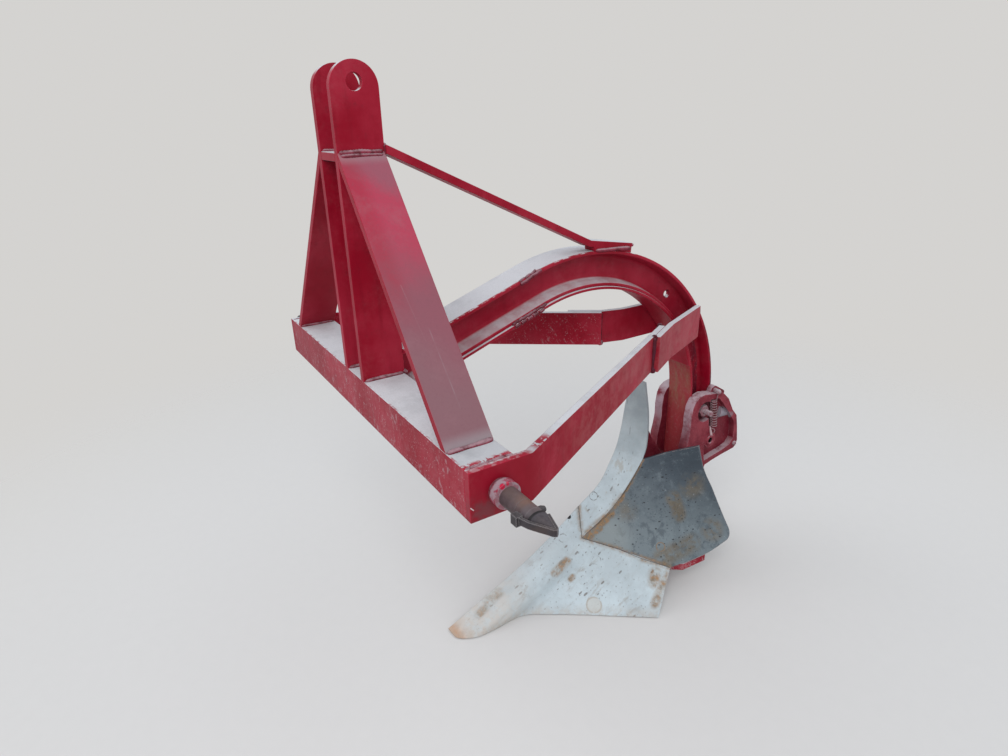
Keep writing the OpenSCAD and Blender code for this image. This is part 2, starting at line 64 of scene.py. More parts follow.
# The trip head: the cheeks' recess and face from the beam's middle, and its axes in (y, z)
CHEEK_FLOOR, CHEEK_FACE = BEAM_W / 2 + 9.45, BEAM_W / 2 + 25.45
HEAD_BOLT, SPRING_POST, CHEEK_HOLE, REAR_BOLT = (850.0, 409.0), (889.0, 453.0), (878.0, 321.0), (975.2, 283.0)
THREAD_TURNS, COIL_TURNS, COIL_R = 20, 11, 8

# Rounding of edges in metres
CAST_EDGE, FROG_EDGE, CUT_EDGE, RIM_EDGE, PIN_EDGE, CLIP_EDGE = 0.0042, 0.0022, 0.0015, 0.001, 0.0016, 0.0012


# Sizes and colours that a user would change

def colour_of(name, description, default):
    """Setting for a colour: red, green and blue from 0 to 1."""
    return bpy.props.FloatVectorProperty(
        name=name, description=description, subtype="COLOR", size=3, min=0, max=1, default=default)


def length_of(name, description, default, most, least=0.0):
    """Setting for a length in metres."""
    return bpy.props.FloatProperty(
        name=name, description=description, default=default, min=least, max=most, unit="LENGTH")


def power_of(name, description, default):
    """Setting for a lamp's power in watts."""
    return bpy.props.FloatProperty(name=name, description=description, default=default, min=0, unit="POWER")


class PLOUGH_PG_paint(bpy.types.PropertyGroup):
    """Red paint and what lies on it"""

    fresh: colour_of("Fresh red", "Paint that rain and sun haven't reached", (0.245, 0.0005, 0.012))
    worn: colour_of("Worn red", "Paint on the sides, a little chalky", (0.34, 0.016, 0.036))
    rosy: colour_of("Rosy", "Sun-bleached red high on the mast's legs", (0.405, 0.05, 0.088))
    faded: colour_of("Faded", "Sun-bleached mauve of the mast's legs", (0.25, 0.084, 0.108))
    film: colour_of("Film", "Thin dust on upright faces", (0.41, 0.17, 0.185))
    dust: colour_of("Dust", "Settled dust on faces that look up", (0.6, 0.605, 0.63))
    settled: bpy.props.FloatProperty(
        name="Settled dust", description="Share of the upper faces under dust", default=0.94, min=0, max=1,
        subtype="FACTOR")
    edge: length_of("Edge radius", "Rounding of the rolled bars' edges", 0.0013, 0.004)


class PLOUGH_PG_steel(bpy.types.PropertyGroup):
    """Bare steel of the bottom, the pins and the spring"""

    share: colour_of("Share", "Scoured share and shin", (0.475, 0.545, 0.575))
    board: colour_of("Mouldboard", "Dull mouldboard, lower half", (0.142, 0.172, 0.186))
    board_top: colour_of("Mouldboard top", "Dull mouldboard, upper edge", (0.05, 0.066, 0.083))
    rust: colour_of("Rust", "Fresh rust along the seams", (0.4, 0.22, 0.095))
    brown: colour_of("Brown", "Old rust in patches", (0.17, 0.125, 0.075))
    pin: colour_of("Pins", "Brown bare steel of the lift pins", (0.078, 0.052, 0.055))
    pit: length_of("Pit depth", "Depth of the pits in the plates", 0.0011, 0.004)


class PLOUGH_PG_weld(bpy.types.PropertyGroup):
    """Weld beads"""

    radius: length_of("Bead", "Radius of a bead", 0.0042, 0.01, 0.001)
    pitch: length_of("Ripple", "Distance between a bead's ripples", 0.0046, 0.02, 0.001)


class PLOUGH_PG_stage(bpy.types.PropertyGroup):
    """Floor and studio light"""

    floor: colour_of("Floor", "Pale floor and background", (0.66, 0.65, 0.635))
    sky: colour_of("Sky", "Light from all round", (0.9, 0.94, 1.0))
    strength: bpy.props.FloatProperty(name="Sky strength", description="Light from all round", default=0.76, min=0)
    key: power_of("Key", "Power of the key lamp", 84)
    fill: power_of("Fill", "Power of the fill lamp", 26)


# Shader maths

class Value:
    """One output of a shader node. Sums and products of values add Math nodes."""

    def __init__(self, maker, socket):
        self.maker = maker
        self.socket = socket

    def math(self, operation, *values):
        """A Math node of the operation over the values."""
        return self.maker.node("ShaderNodeMath", {"operation": operation}, *values)

    def __add__(self, other):
        return self.math("ADD", self, other)

    __radd__ = __add__

    def __sub__(self, other):
        return self.math("SUBTRACT", self, other)

    def __rsub__(self, other):
        return self.math("SUBTRACT", other, self)

    def __mul__(self, other):
        return self.math("MULTIPLY", self, other)

    def __neg__(self):
        return self * -1

    def __abs__(self):
        return self.math("ABSOLUTE", self)

    def root(self):
        """Its square root."""
        return self.math("SQRT", self)

    def high(self, other):
        """The greater of the two."""
        return self.math("MAXIMUM", self, other)

    def low(self, other):
        """The smaller of the two."""
        return self.math("MINIMUM", self, other)

    def step(self, start, end):
        """0 up to start, 1 from end, smooth between; also downward where end is the smaller."""
        if start > end:
            return 1 - self.step(end, start)
        return self.maker.node(
            "ShaderNodeMapRange", {"interpolation_type": "SMOOTHSTEP"}, self, start, end, 0.0, 1.0)


def most(*masks):
    """The greatest of several masks."""
    found = masks[0]
    for mask in masks[1:]:
        found = found.high(mask)
    return found


class Finish:
    """A material in the making, with its shader and the coordinates of the plough."""

    def __init__(self, name, roughness, specular):
        self.material = bpy.data.materials.new(name)
        self.material.use_nodes = True
        self.tree = self.material.node_tree
        self.shader = next(n for n in self.tree.nodes if n.type == "BSDF_PRINCIPLED")
        self.shader.inputs["Roughness"].default_value = roughness
        self.shader.inputs["Specular IOR Level"].default_value = specular
        place = self.tree.nodes.new("ShaderNodeTexCoord")
        self.place = Value(self, place.outputs["Object"])
        self.x, self.y, self.z = self.parts(self.place)
        self.nx, self.ny, self.nz = self.parts(Value(self, place.outputs["Normal"]))

    def node(self, kind, settings, *values, out=0, **named):
        """Adds a node: settings first, then its inputs by order or by name (spaces as _)."""
        made = self.tree.nodes.new(kind)
        for key, setting in settings.items():
            setattr(made, key, setting)
        inputs = list(enumerate(values)) + [(k.replace("_", " "), v) for k, v in named.items()]
        for key, value in inputs:
            self.feed(made.inputs[key], value)
        return Value(self, made.outputs[out])

    def feed(self, socket, value):
        """Links a value to a socket, or sets it to a plain number or colour."""
        if isinstance(value, Value):
            self.tree.links.new(value.socket, socket)
        elif hasattr(value, "__len__") and len(value) == 3 and socket.type == "RGBA":
            socket.default_value = (*value, 1)
        else:
            socket.default_value = value

    def vector(self, operation, *values, **named):
        """Vector Math node, with its number as the output where the operation gives one."""
        out = 0 if operation in ("SUBTRACT", "SCALE") else 1
        return self.node("ShaderNodeVectorMath", {"operation": operation}, *values, out=out, **named)

    def parts(self, vector):
        """A vector's three components."""
        made = self.tree.nodes.new("ShaderNodeSeparateXYZ")
        self.feed(made.inputs[0], vector)
        return [Value(self, s) for s in made.outputs]

    def mix(self, share, first, second):
        """Colour between first at 0 and second at 1. A colour mix has its sockets at 0, 6, 7 and, going out, 2."""
        made = self.tree.nodes.new("ShaderNodeMix")
        made.data_type = "RGBA"
        for socket, value in ((0, share), (6, first), (7, second)):
            self.feed(made.inputs[socket], value)
        return Value(self, made.outputs[2])

    def coats(self, colour, *layers):
        """A colour with others laid over it in order, each by its share."""
        for share, over in layers:
            colour = self.mix(share, colour, over)
        return colour

    def drawn(self, stretch=(1, 1, 1), turn=(0, 0, 0)):
        """The plough's coordinates, turned and drawn out along an axis."""
        return self.node("ShaderNodeMapping", {"vector_type": "TEXTURE"}, self.place, (0, 0, 0), turn, stretch)

    def noise(self, scale, detail=3.0, rough=0.55, where=None):
        """Cloudy 0 to 1 pattern with scale in patches per metre."""
        return self.node(
            "ShaderNodeTexNoise", {}, Vector=where or self.place, Scale=scale, Detail=detail, Roughness=rough)

    def pits(self, scale, size, share, where=None):
        """Round spots in plan view or in the plane of where, scale of them per metre, in a share of the cells."""
        cell = self.tree.nodes.new("ShaderNodeTexVoronoi")
        cell.voronoi_dimensions = "2D"
        self.feed(cell.inputs["Vector"], where or self.place)
        self.feed(cell.inputs["Scale"], scale)
        chance, spread, _ = self.parts(Value(self, cell.outputs["Color"]))
        wide = spread * (size * 0.6) + size * 0.4
        spots = (wide - Value(self, cell.outputs["Distance"])).step(0, size * 0.25)
        return spots * chance.step(1 - share, 1 - share + 0.02)

    def near(self, point, radius, soft):
        """1 within radius of a point of the plough, 0 beyond radius + soft."""
        return self.vector("DISTANCE", self.place, point).step(radius + soft, radius)

    def line(self, start, end, radius, soft):
        """1 within radius of the line between two points of the plough, 0 beyond radius + soft."""
        reach = np.subtract(end, start)
        out = self.vector("SUBTRACT", self.place, start)
        share = self.vector("DOT_PRODUCT", out, tuple(reach / (reach @ reach)))
        foot = self.vector("SCALE", tuple(reach), Scale=share.high(0.0).low(1.0))
        return self.vector("DISTANCE", out, foot).step(radius + soft, radius)

    def lines(self, points, radii, soft):
        """The greatest of the line masks along listed points."""
        return most(*(self.line(a, b, r, soft) for a, b, r in zip(points, points[1:], radii)))

    def ring(self, point, radius, line):
        """Line round a point of the plough."""
        return self.near(point, radius, line) * (1 - self.near(point, radius - 2 * line, line))

    def bump(self, height, distance, strength):
        """Normal of a surface that stands up by a distance in metres where height is 1."""
        return self.node("ShaderNodeBump", {}, Strength=strength, Distance=distance, Height=height)

    def edge(self, radius):
        """1 on sharp edges, 0 away from them, from how far a normal rounded over radius leans from the true one."""
        true = self.node("ShaderNodeNewGeometry", {}, out=3)
        rounded = self.node("ShaderNodeBevel", {"samples": 4}, radius)
        return (1 - self.vector("DOT_PRODUCT", rounded, true)).step(0.01, 0.12)

    def done(self, colour, roughness=None, metallic=None, normal=None):
        """Feeds the shader and hands over the material."""
        fed = {"Base Color": colour, "Roughness": roughness, "Metallic": metallic, "Normal": normal}
        for socket, value in fed.items():
            if value is not None:
                self.feed(self.shader.inputs[socket], value)
        return self.material


def darker(colour, share):
    """The colour at a share of its strength, over 1 for a lighter one."""
    return tuple(c * share for c in colour)


# Finishes

def red_paint(name, look, film=0.3, specks=0.0, streaks=0.0, settle=(0.5, 0.85), bare=None, over=None):
    """Brushed red paint: clouded and grimy, filmed with dust on its sides, with a painted highlight of bright
    crimson along its edges, under flaky dust on top.

    bare gives a mask of where no dust lies, from the finish. over gives the paint's colour with more laid over
    it, from the finish, the colour so far and the look.
    """
    m = Finish(name, roughness=0.5, specular=0.13)
    cloud = m.noise(6, 5, 0.6)
    brush = m.noise(70, 3, 0.6, m.drawn((1, 1, 7)))
    edge = m.edge(0.0024)
    veil = m.noise(15, 6, 0.68).step(0.42, 0.74) * m.noise(160, 2).step(0.25, 0.7) * film
    if streaks:
        run = m.noise(260, 5, 0.75, m.drawn((1, 1, 4.5))).step(0.46, 0.7) * m.noise(14, 4, 0.6).step(0.3, 0.62)
        veil = veil.high(run * (m.x.step(0.36, 0.1) * 0.5 + 0.5) * streaks)
    coats = [
        (brush.step(0.5, 0.75) * 0.35, darker(look.fresh, 0.7)),
        (m.noise(38, 6, 0.75).step(0.55, 0.72) * 0.35, (0.115, 0.012, 0.018)),
        (veil, look.film)]
    if specks:
        drops = m.noise(300, 2, 0.7).step(0.6, 0.68) * m.noise(40, 3).step(0.35, 0.62)
        slanted = m.noise(90, 5, 0.75, m.drawn((1, 1, 2.5), (0.5, 0, 0))).step(0.57, 0.64)
        coats.append(((drops + slanted * 0.6) * specks, darker(look.dust, 0.8)))
    # Painted highlight: bright crimson along the edges, in patches.
    coats.append((edge * m.noise(60, 4).step(0.35, 0.6) * 0.45, (0.56, 0.03, 0.075)))
    red = m.coats(m.mix(cloud.step(0.36, 0.68), look.fresh, look.worn), *coats)
    if over:
        red = over(m, red, look)

    grain = m.noise(420, 3, 0.7)
    ragged = m.noise(48, 6, 0.72)
    lying = m.nz.step(*settle) * (ragged + look.settled - 0.5).step(0.3, 0.42)
    lying = lying * (1 - edge * m.noise(120, 5, 0.75).step(0.44, 0.62) * 0.4)
    if bare:
        lying = lying * (1 - bare(m))
    stain = m.noise(20, 5, 0.65).step(0.46, 0.7)
    arm_end = m.line((0.385, -0.6, 0.686), (0.385, -0.38, 0.686), 0.03, 0.03)
    powder = m.coats(
        m.mix(grain.step(0.3, 0.7), darker(look.dust, 0.88), look.dust),
        (stain * 0.5, darker(look.dust, 0.72)),
        (arm_end * 0.75, m.mix(stain, darker(look.dust, 0.7), darker(look.dust, 0.58))))
    height = cloud * 0.3 + brush * 0.25 + lying * 0.4 + grain * lying * 0.35 + veil * 0.2
    return m.done(m.mix(lying, red, powder), roughness=0.46 + lying * 0.45 + veil * 0.3,
                  normal=m.bump(height, 0.0009, 0.6))


def leg_tone(m, red, look):
    """Bleached upper face: greyish at the top, rosy below it, mauve from half way down, dusty at the foot."""
    cloud = m.noise(8, 5, 0.65)
    fine = m.noise(240, 3, 0.7)
    z = m.z + (cloud - 0.5) * 0.13 + (m.y + 0.455) * 0.5
    left = m.line((0.0468, -0.4935, 1.058), (0.3507, -0.4935, 0.686), 0.012, 0.028)
    scratches = m.line((0.236, -0.452, 0.826), (0.318, -0.449, 0.7255), 0.0002, 0.0012).high(
        m.line((0.19, -0.47, 0.882), (0.262, -0.462, 0.794), 0.0002, 0.0011) * 0.6)
    tone = m.coats(
        m.mix(z.step(0.965, 0.86), look.rosy, look.faded),
        (z.step(0.86, 0.73), (0.228, 0.112, 0.128)),
        (z.step(1.0, 1.045), (0.3, 0.085, 0.118)),
        (left * z.step(0.8, 0.93) * 0.5, look.worn),
        (fine.step(0.45, 0.72) * 0.22, (0.19, 0.075, 0.095)),
        (m.noise(13, 6, 0.75).step(0.5, 0.75) * 0.22, (0.33, 0.17, 0.19)),
        (scratches * cloud.step(0.44, 0.6) * 0.2, darker(look.dust, 0.65)),
        (m.z.step(0.706, 0.69) * 0.45, darker(look.dust, 0.55)),
        (m.z.step(1.038, 1.052) * cloud.step(0.3, 0.6) * 0.6, (0.31, 0.2, 0.22)))
    return m.mix(m.nz.step(0.3, 0.6) * (1 - m.edge(0.003) * 0.7), red, tone)


def toolbar_bare(m):
    """Chips in the dust: most of them along the left arm's joint and the front edge."""
    joint = m.x.step(0.386, 0.393) * m.noise(110, 4, 0.7).step(0.44, 0.53)
    front = m.y.step(-0.489, -0.4915) * m.noise(60, 5, 0.75).step(0.48, 0.62) * 0.8
    return (joint + front + m.noise(30, 5, 0.75).step(0.7, 0.74)).low(1.0)


def arm_bare(m):
    """Bare red along the top of the left arm beside the toolbar, with crumbs of dust left on it."""
    crumbled = (m.noise(80, 5, 0.7).step(0.38, 0.6) * 0.75 + m.x.step(0.403, 0.409) * 0.7).low(1.0)
    corner = m.near((0.395, -0.365, 0.686), 0.01, 0.02) * m.noise(110, 4, 0.7).step(0.42, 0.5)
    return (m.y.step(-0.385, -0.405) * crumbled + corner).low(1.0)


def arm_tone(m, red, look):
    """Brownish dust on the arm past its bend, a grey smudge low in front, a white scratch at the corner."""
    past = m.y.step(-0.36, -0.2) * m.nz.step(0.5, 0.3)
    smudge = m.near((0.4125, -0.474, 0.6215), 0.008, 0.035) * m.noise(40, 4, 0.7).step(0.3, 0.6)
    scratch = m.line((0.4125, -0.4925, 0.6345), (0.4125, -0.4885, 0.63), 0.0002, 0.0009)
    return m.coats(
        red,
        (past * m.noise(34, 6, 0.7).step(0.36, 0.66) * 0.42, (0.34, 0.1, 0.1)),
        (m.y.step(-0.35, -0.4) * m.nx.step(0.5, 0.9) * 0.6, (0.225, 0.0008, 0.01)),
        (smudge * 0.6, (0.115, 0.05, 0.055)),
        (scratch, (0.6, 0.52, 0.52)))


def beam_radius(m):
    """Distance from the middle of the beam's bend, and ahead of the bend from a line through it."""
    _, middle_y, middle_z = placed((0, *BEND))
    y, z = m.y - middle_y, m.z - middle_z
    bend = (y * y + z * z).root()
    run = y * -math.sin(SLOPE) + z * math.cos(SLOPE)
    return bend + (run - bend) * (y * -math.cos(SLOPE) + z * -math.sin(SLOPE)).step(-0.001, 0.001)


def inner_flange(m):
    """1 on the beam's lower flange and its strap, nearer the bend's middle than the web."""
    return beam_radius(m).step(0.372, 0.366)


def beam_tone(m, red, look):
    """Olive streaks down the shank, grime in the web towards the outer flange, and the lower flange's soft dust."""
    streak = m.noise(75, 5, 0.7, m.drawn((1, 1, 4)))
    shank = (-m.ny).step(0.6, 0.9) * m.z.step(0.6, 0.55) * m.y.step(0.345, 0.335)
    olive = m.near((0.004, 0.322, 0.49), 0.045, 0.06)
    web = abs(m.nx).step(0.8, 0.95) * m.y.step(0.26, 0.34)
    # dish: painted shade, dark red over the dish round the web hole, on faces that look left.
    dish = m.line((0.0, 0.248, 0.716), (0.036, 0.248, 0.716), 0.0094, 0.0008) * m.nx.step(0.3, 0.9)
    soft = inner_flange(m) * m.nz.step(0.6, 0.98) * (0.45 + m.noise(26, 5, 0.7).step(0.3, 0.7) * 0.4)
    return m.coats(
        red,
        (shank * 0.4, (0.3, 0.05, 0.05)),
        (shank * streak.step(0.3, 0.78) * (olive * 0.65 + 0.12), (0.215, 0.125, 0.075)),
        (shank * m.noise(130, 5, 0.75).step(0.52, 0.66) * 0.3, (0.3, 0.14, 0.14)),
        (web * m.y.step(0.325, 0.375) * streak.step(0.36, 0.6) * 0.8, (0.055, 0.012, 0.022)),
        (web * m.noise(240, 3, 0.7).step(0.58, 0.66) * 0.4, look.film),
        (dish * 0.75, (0.075, 0.006, 0.012)),
        (soft, darker(look.dust, 0.85)))


def beam_bare(m):
    """No flaky dust on the lower flange, nor on the near margin of the top flange and round its splice."""
    margin = m.x.step(0.0485, 0.0515) * m.noise(70, 5, 0.7).step(0.36, 0.5)
    splice = m.line((0.0545, -0.18, 0.797), (0.0545, -0.132, 0.83), 0.004, 0.006)
    return (inner_flange(m) + margin + splice * m.noise(90, 5, 0.7).step(0.36, 0.5)).low(1.0)


def casting(name, side):
    """Rough cast iron under worn red, dusty mauve on the rims that face forwards and up, with painted shade: darker
    in the recess, in the bolt's well and beside the spring, near black in the hole.

    side is 1 on the plough's left and -1 on its right.
    """
    def across(off, y, z):
        """Place at a distance from the beam's middle plane, on the casting's side."""
        return BEAM_X / 1000 + side * off, y, z

    m = Finish(name, roughness=0.45, specular=0.25)
    cloud = m.noise(28, 5, 0.65)
    grit = m.noise(260, 4, 0.7)
    pale = m.noise(34, 6, 0.7)
    out = (m.x - BEAM_X / 1000) * side
    recess = out.step(0.0555, 0.0485)
    rim = (m.ny * -0.75 + m.nz * 0.75).step(0.25, 0.95) * m.z.step(0.3, 0.41)
    well = m.line((0.0, 0.3565, 0.409), (0.09, 0.3565, 0.409), 0.022, 0.012)
    ledge = m.nz.step(0.5, 0.95) * (1 - well)
    shade = m.line((0.066, 0.389, 0.44), (0.066, 0.399, 0.352), 0.006, 0.008) * out.step(0.058, 0.05)
    cone = m.line(across(0.0435, 0.419, 0.386), across(0.0435, 0.458, 0.3745), 0.016, 0.005)
    cone = cone * out.step(0.0479, 0.0497) * (pale.step(0.25, 0.5) * 0.4 + 0.6)
    spike = m.line(across(0.048, 0.3795, 0.345), across(0.054, 0.383, 0.333), 0.003, 0.006)
    lip = m.line(across(0.0665, 0.3785, 0.366), across(0.0665, 0.383, 0.342), 0.003, 0.003)
    hole = m.line((0.0, 0.3845, 0.321), (0.09, 0.3845, 0.321), 0.007, 0.0006)
    red = m.coats(
        m.mix(cloud.step(0.35, 0.7), (0.15, 0.004, 0.016), (0.255, 0.03, 0.045)),
        # Painted shade: darker red over the recess.
        (recess * 0.35, (0.09, 0.002, 0.008)),
        (rim * pale.step(0.28, 0.62) * 0.85, (0.43, 0.32, 0.36)),
        (ledge * pale.step(0.3, 0.55) * 0.75, (0.5, 0.42, 0.45)),
        # Painted shade: near black on the recess floor beside the spring, and in the bolt's well.
        ((shade * 0.8).high(well * recess * 0.85), (0.035, 0.001, 0.004)),
        (cone * 0.9, (0.29, 0.27, 0.305)),
        (spike * 0.7, (0.5, 0.42, 0.42)),
        (lip * 0.8, (0.52, 0.4, 0.41)),
        # Painted shade: the hole is near black.
        (hole, (0.006, 0.004, 0.005)),
        (m.edge(0.004) * pale.step(0.42, 0.58) * 0.4, (0.46, 0.16, 0.2)),
        (grit.step(0.56, 0.72) * 0.3, (0.3, 0.17, 0.19)))
    return m.done(red, roughness=0.38 + pale * 0.35, normal=m.bump(cloud * 0.5 + grit * 0.5, 0.0012, 0.5))


def weld_finish(name, dusty):
    """Weld metal under red paint, the paler and dustier on its upper side the nearer dusty is to 1."""
    m = Finish(name, roughness=0.5, specular=0.2)
    cloud = m.noise(60, 5, 0.7)
    dark = np.add((0.06, 0.003, 0.008), np.multiply((0.09, 0.015, 0.02), dusty))
    pale = np.add((0.05, 0.01, 0.024), np.multiply((0.36, 0.04, 0.06), dusty))
    red = m.coats(
        m.mix(cloud.step(0.4, 0.65), dark, pale),
        (m.nz.step(0.0, 0.8) * cloud.step(0.3, 0.58) * dusty, (0.4, 0.31, 0.34)))
    return m.done(red, normal=m.bump(m.noise(300, 4, 0.7), 0.0008, 0.5))


# Seams on the bottom's face in metres: of the mouldboard with the shin, and of the share with what stands on it
SHIN_LINE = ((0.0228, 0.0234, 0.1388), (0.0266, 0.0592, 0.1577), (0.0302, 0.097, 0.1804), (0.0329, 0.135, 0.219),
             (0.0355, 0.1664, 0.2585), (0.034, 0.1965, 0.304))
SHARE_LINE = ((-0.02, 0.0395, 0.197), (0.023, 0.0185, 0.135), (0.053, 0.0513, 0.1234), (0.085, 0.0865, 0.111),
              (0.1211, 0.122, 0.0931), (0.17, 0.1765, 0.072))
BOARD_LINE = SHARE_LINE[1:]
SHARE_STAIN = (0.1201, -0.0193, 0.0171)
SHARE_BOLTS = ((0.001, -0.0233, 0.1389), (-0.0121, 0.0811, 0.2146), (0.0667, 0.0306, 0.0918))

# The soil's way over the share, and the turn about x that lays a pattern along it
SOIL_WAY = np.array([0, 0.89, 0.455])
SOIL_TURN = (0.472, 0, 0)


def along_flow(m, point, reach, radius, soft):
    """Line mask on the soil's way over the share, with a reach to both sides of a place."""
    way = SOIL_WAY * reach
    return m.line(tuple(point - way), tuple(point + way), radius, soft)


def scoured_steel(name, look):
    """Share and shin: pale scoured steel with soil dust, pits, gouges along the soil's flow and rusty seams."""
    m = Finish(name, roughness=0.5, specular=0.35)
    cloud = m.noise(11, 6, 0.62)
    fine = m.noise(130, 4, 0.7)
    blot = m.noise(45, 6, 0.72)
    flow = m.drawn((1, 3.2, 1), SOIL_TURN)
    shin = m.mix(cloud.step(0.3, 0.7), (0.235, 0.268, 0.285), (0.36, 0.395, 0.41))
    gouge = m.pits(58, 0.135, 0.62, flow) * m.noise(16, 3).step(0.34, 0.5) * fine.step(0.32, 0.46)
    small = m.pits(135, 0.21, 0.24)
    run = m.noise(34, 5, 0.7, flow).step(0.55, 0.64) * m.noise(9, 3).step(0.42, 0.58) * m.z.step(0.17, 0.12)
    ovals = m.noise(30, 4, 0.6, m.drawn((1, 1, 1.8))).step(0.6, 0.66) * m.z.step(0.14, 0.2) * m.z.step(0.36, 0.28)
    smears = most(
        along_flow(m, (0.0339, -0.0535, 0.0867), 0.02, 0.006, 0.009),
        along_flow(m, (0.0545, -0.0365, 0.0601), 0.004, 0.003, 0.007),
        along_flow(m, (-0.004, -0.225, 0.055), 0.014, 0.009, 0.012),
        along_flow(m, (0.004, -0.262, 0.038), 0.01, 0.006, 0.012),
        m.line((0.16, 0.14, 0.068), (0.17, 0.126, 0.052), 0.004, 0.018),
        m.line((0.178, 0.158, 0.066), (0.2, 0.1, 0.02), 0.002, 0.014))
    crack = m.lines(SHARE_LINE, (0.0002,) * 5, 0.0009)
    seam = m.lines(SHIN_LINE[:4], (0.004, 0.003, 0.002), 0.011) * 0.8
    throat = m.lines(SHARE_LINE, (0.0008, 0.0012, 0.0008, 0.0012, 0.002), 0.01) * 0.75
    rusty = (most(smears, seam, throat) * blot.step(0.3, 0.62) * (fine * 0.6 + 0.7)).low(1.0)
    smoky = smears.high(seam) * 0.35 * cloud.step(0.3, 0.6)
    stain = m.near(SHARE_STAIN, 0.0155, 0.003)
    stain_rim = m.ring(SHARE_STAIN, 0.0185, 0.0018) * blot.step(0.32, 0.46)
    neck = m.x.step(0.05, -0.03) * m.z.step(0.16, 0.1)
    warm = m.y.step(-0.1, -0.25) * (blot.step(0.36, 0.6) * 0.4 + 0.35) * (1 - smears * 0.9)
    hole = m.near((-0.0194, 0.0096, 0.1763), 0.0048, 0.0012)
    bolts = sum(m.ring(head, 0.0105, 0.0008) for head in SHARE_BOLTS) * m.noise(70, 3).step(0.47, 0.56)
    steel = m.coats(
        m.mix(cloud.step(0.35, 0.68), darker(look.share, 0.9), darker(look.share, 1.12)),
        (m.z.step(0.16, 0.5), shin),
        (fine.step(0.52, 0.75) * 0.34, (0.3, 0.31, 0.31)),
        (m.noise(80, 4, 0.65, flow).step(0.52, 0.72) * 0.3, (0.34, 0.345, 0.335)),
        (run * 0.45, (0.25, 0.2, 0.155)),
        (gouge * 0.72, (0.16, 0.135, 0.115)),
        (small * 0.55, (0.17, 0.17, 0.17)),
        (ovals * 0.4, (0.3, 0.24, 0.17)),
        (smoky, (0.42, 0.33, 0.24)),
        (rusty * 0.92, m.mix(fine.step(0.36, 0.66), look.brown, darker(look.rust, 0.85))),
        (stain * 0.55, (0.52, 0.5, 0.45)),
        (stain_rim * 0.5, (0.36, 0.28, 0.2)),
        (m.y.step(-0.295, -0.328) * 0.9, m.mix(fine.step(0.38, 0.66), (0.6, 0.42, 0.3), (0.38, 0.21, 0.13))),
        (neck * 0.35, (0.66, 0.71, 0.71)),
        (warm, (0.57, 0.51, 0.45)),
        (m.y.step(-0.314, -0.332) * (fine * 0.5 + 0.5), (0.5, 0.28, 0.16)),
        (m.z.step(0.022, 0.002) * blot.step(0.35, 0.6) * 0.5, (0.4, 0.34, 0.28)),
        (bolts.low(1.0) * 0.75, (0.13, 0.11, 0.1)),
        (crack * 0.85, (0.035, 0.022, 0.016)),
        (m.edge(0.003) * 0.4, (0.3, 0.28, 0.26)),
        # Painted shade: the hole is near black.
        (hole, (0.01, 0.01, 0.012)))
    raised = (1 - gouge) * 0.6 + (1 - small) * 0.3 + fine * 0.12 + cloud * 0.15
    height = raised - hole * 0.6 - bolts * 0.3 - crack * 0.4
    return m.done(steel, roughness=0.42 + cloud * 0.22 + rusty * 0.3, metallic=0.15 - rusty * 0.15,
                  normal=m.bump(height, look.pit, 0.9))


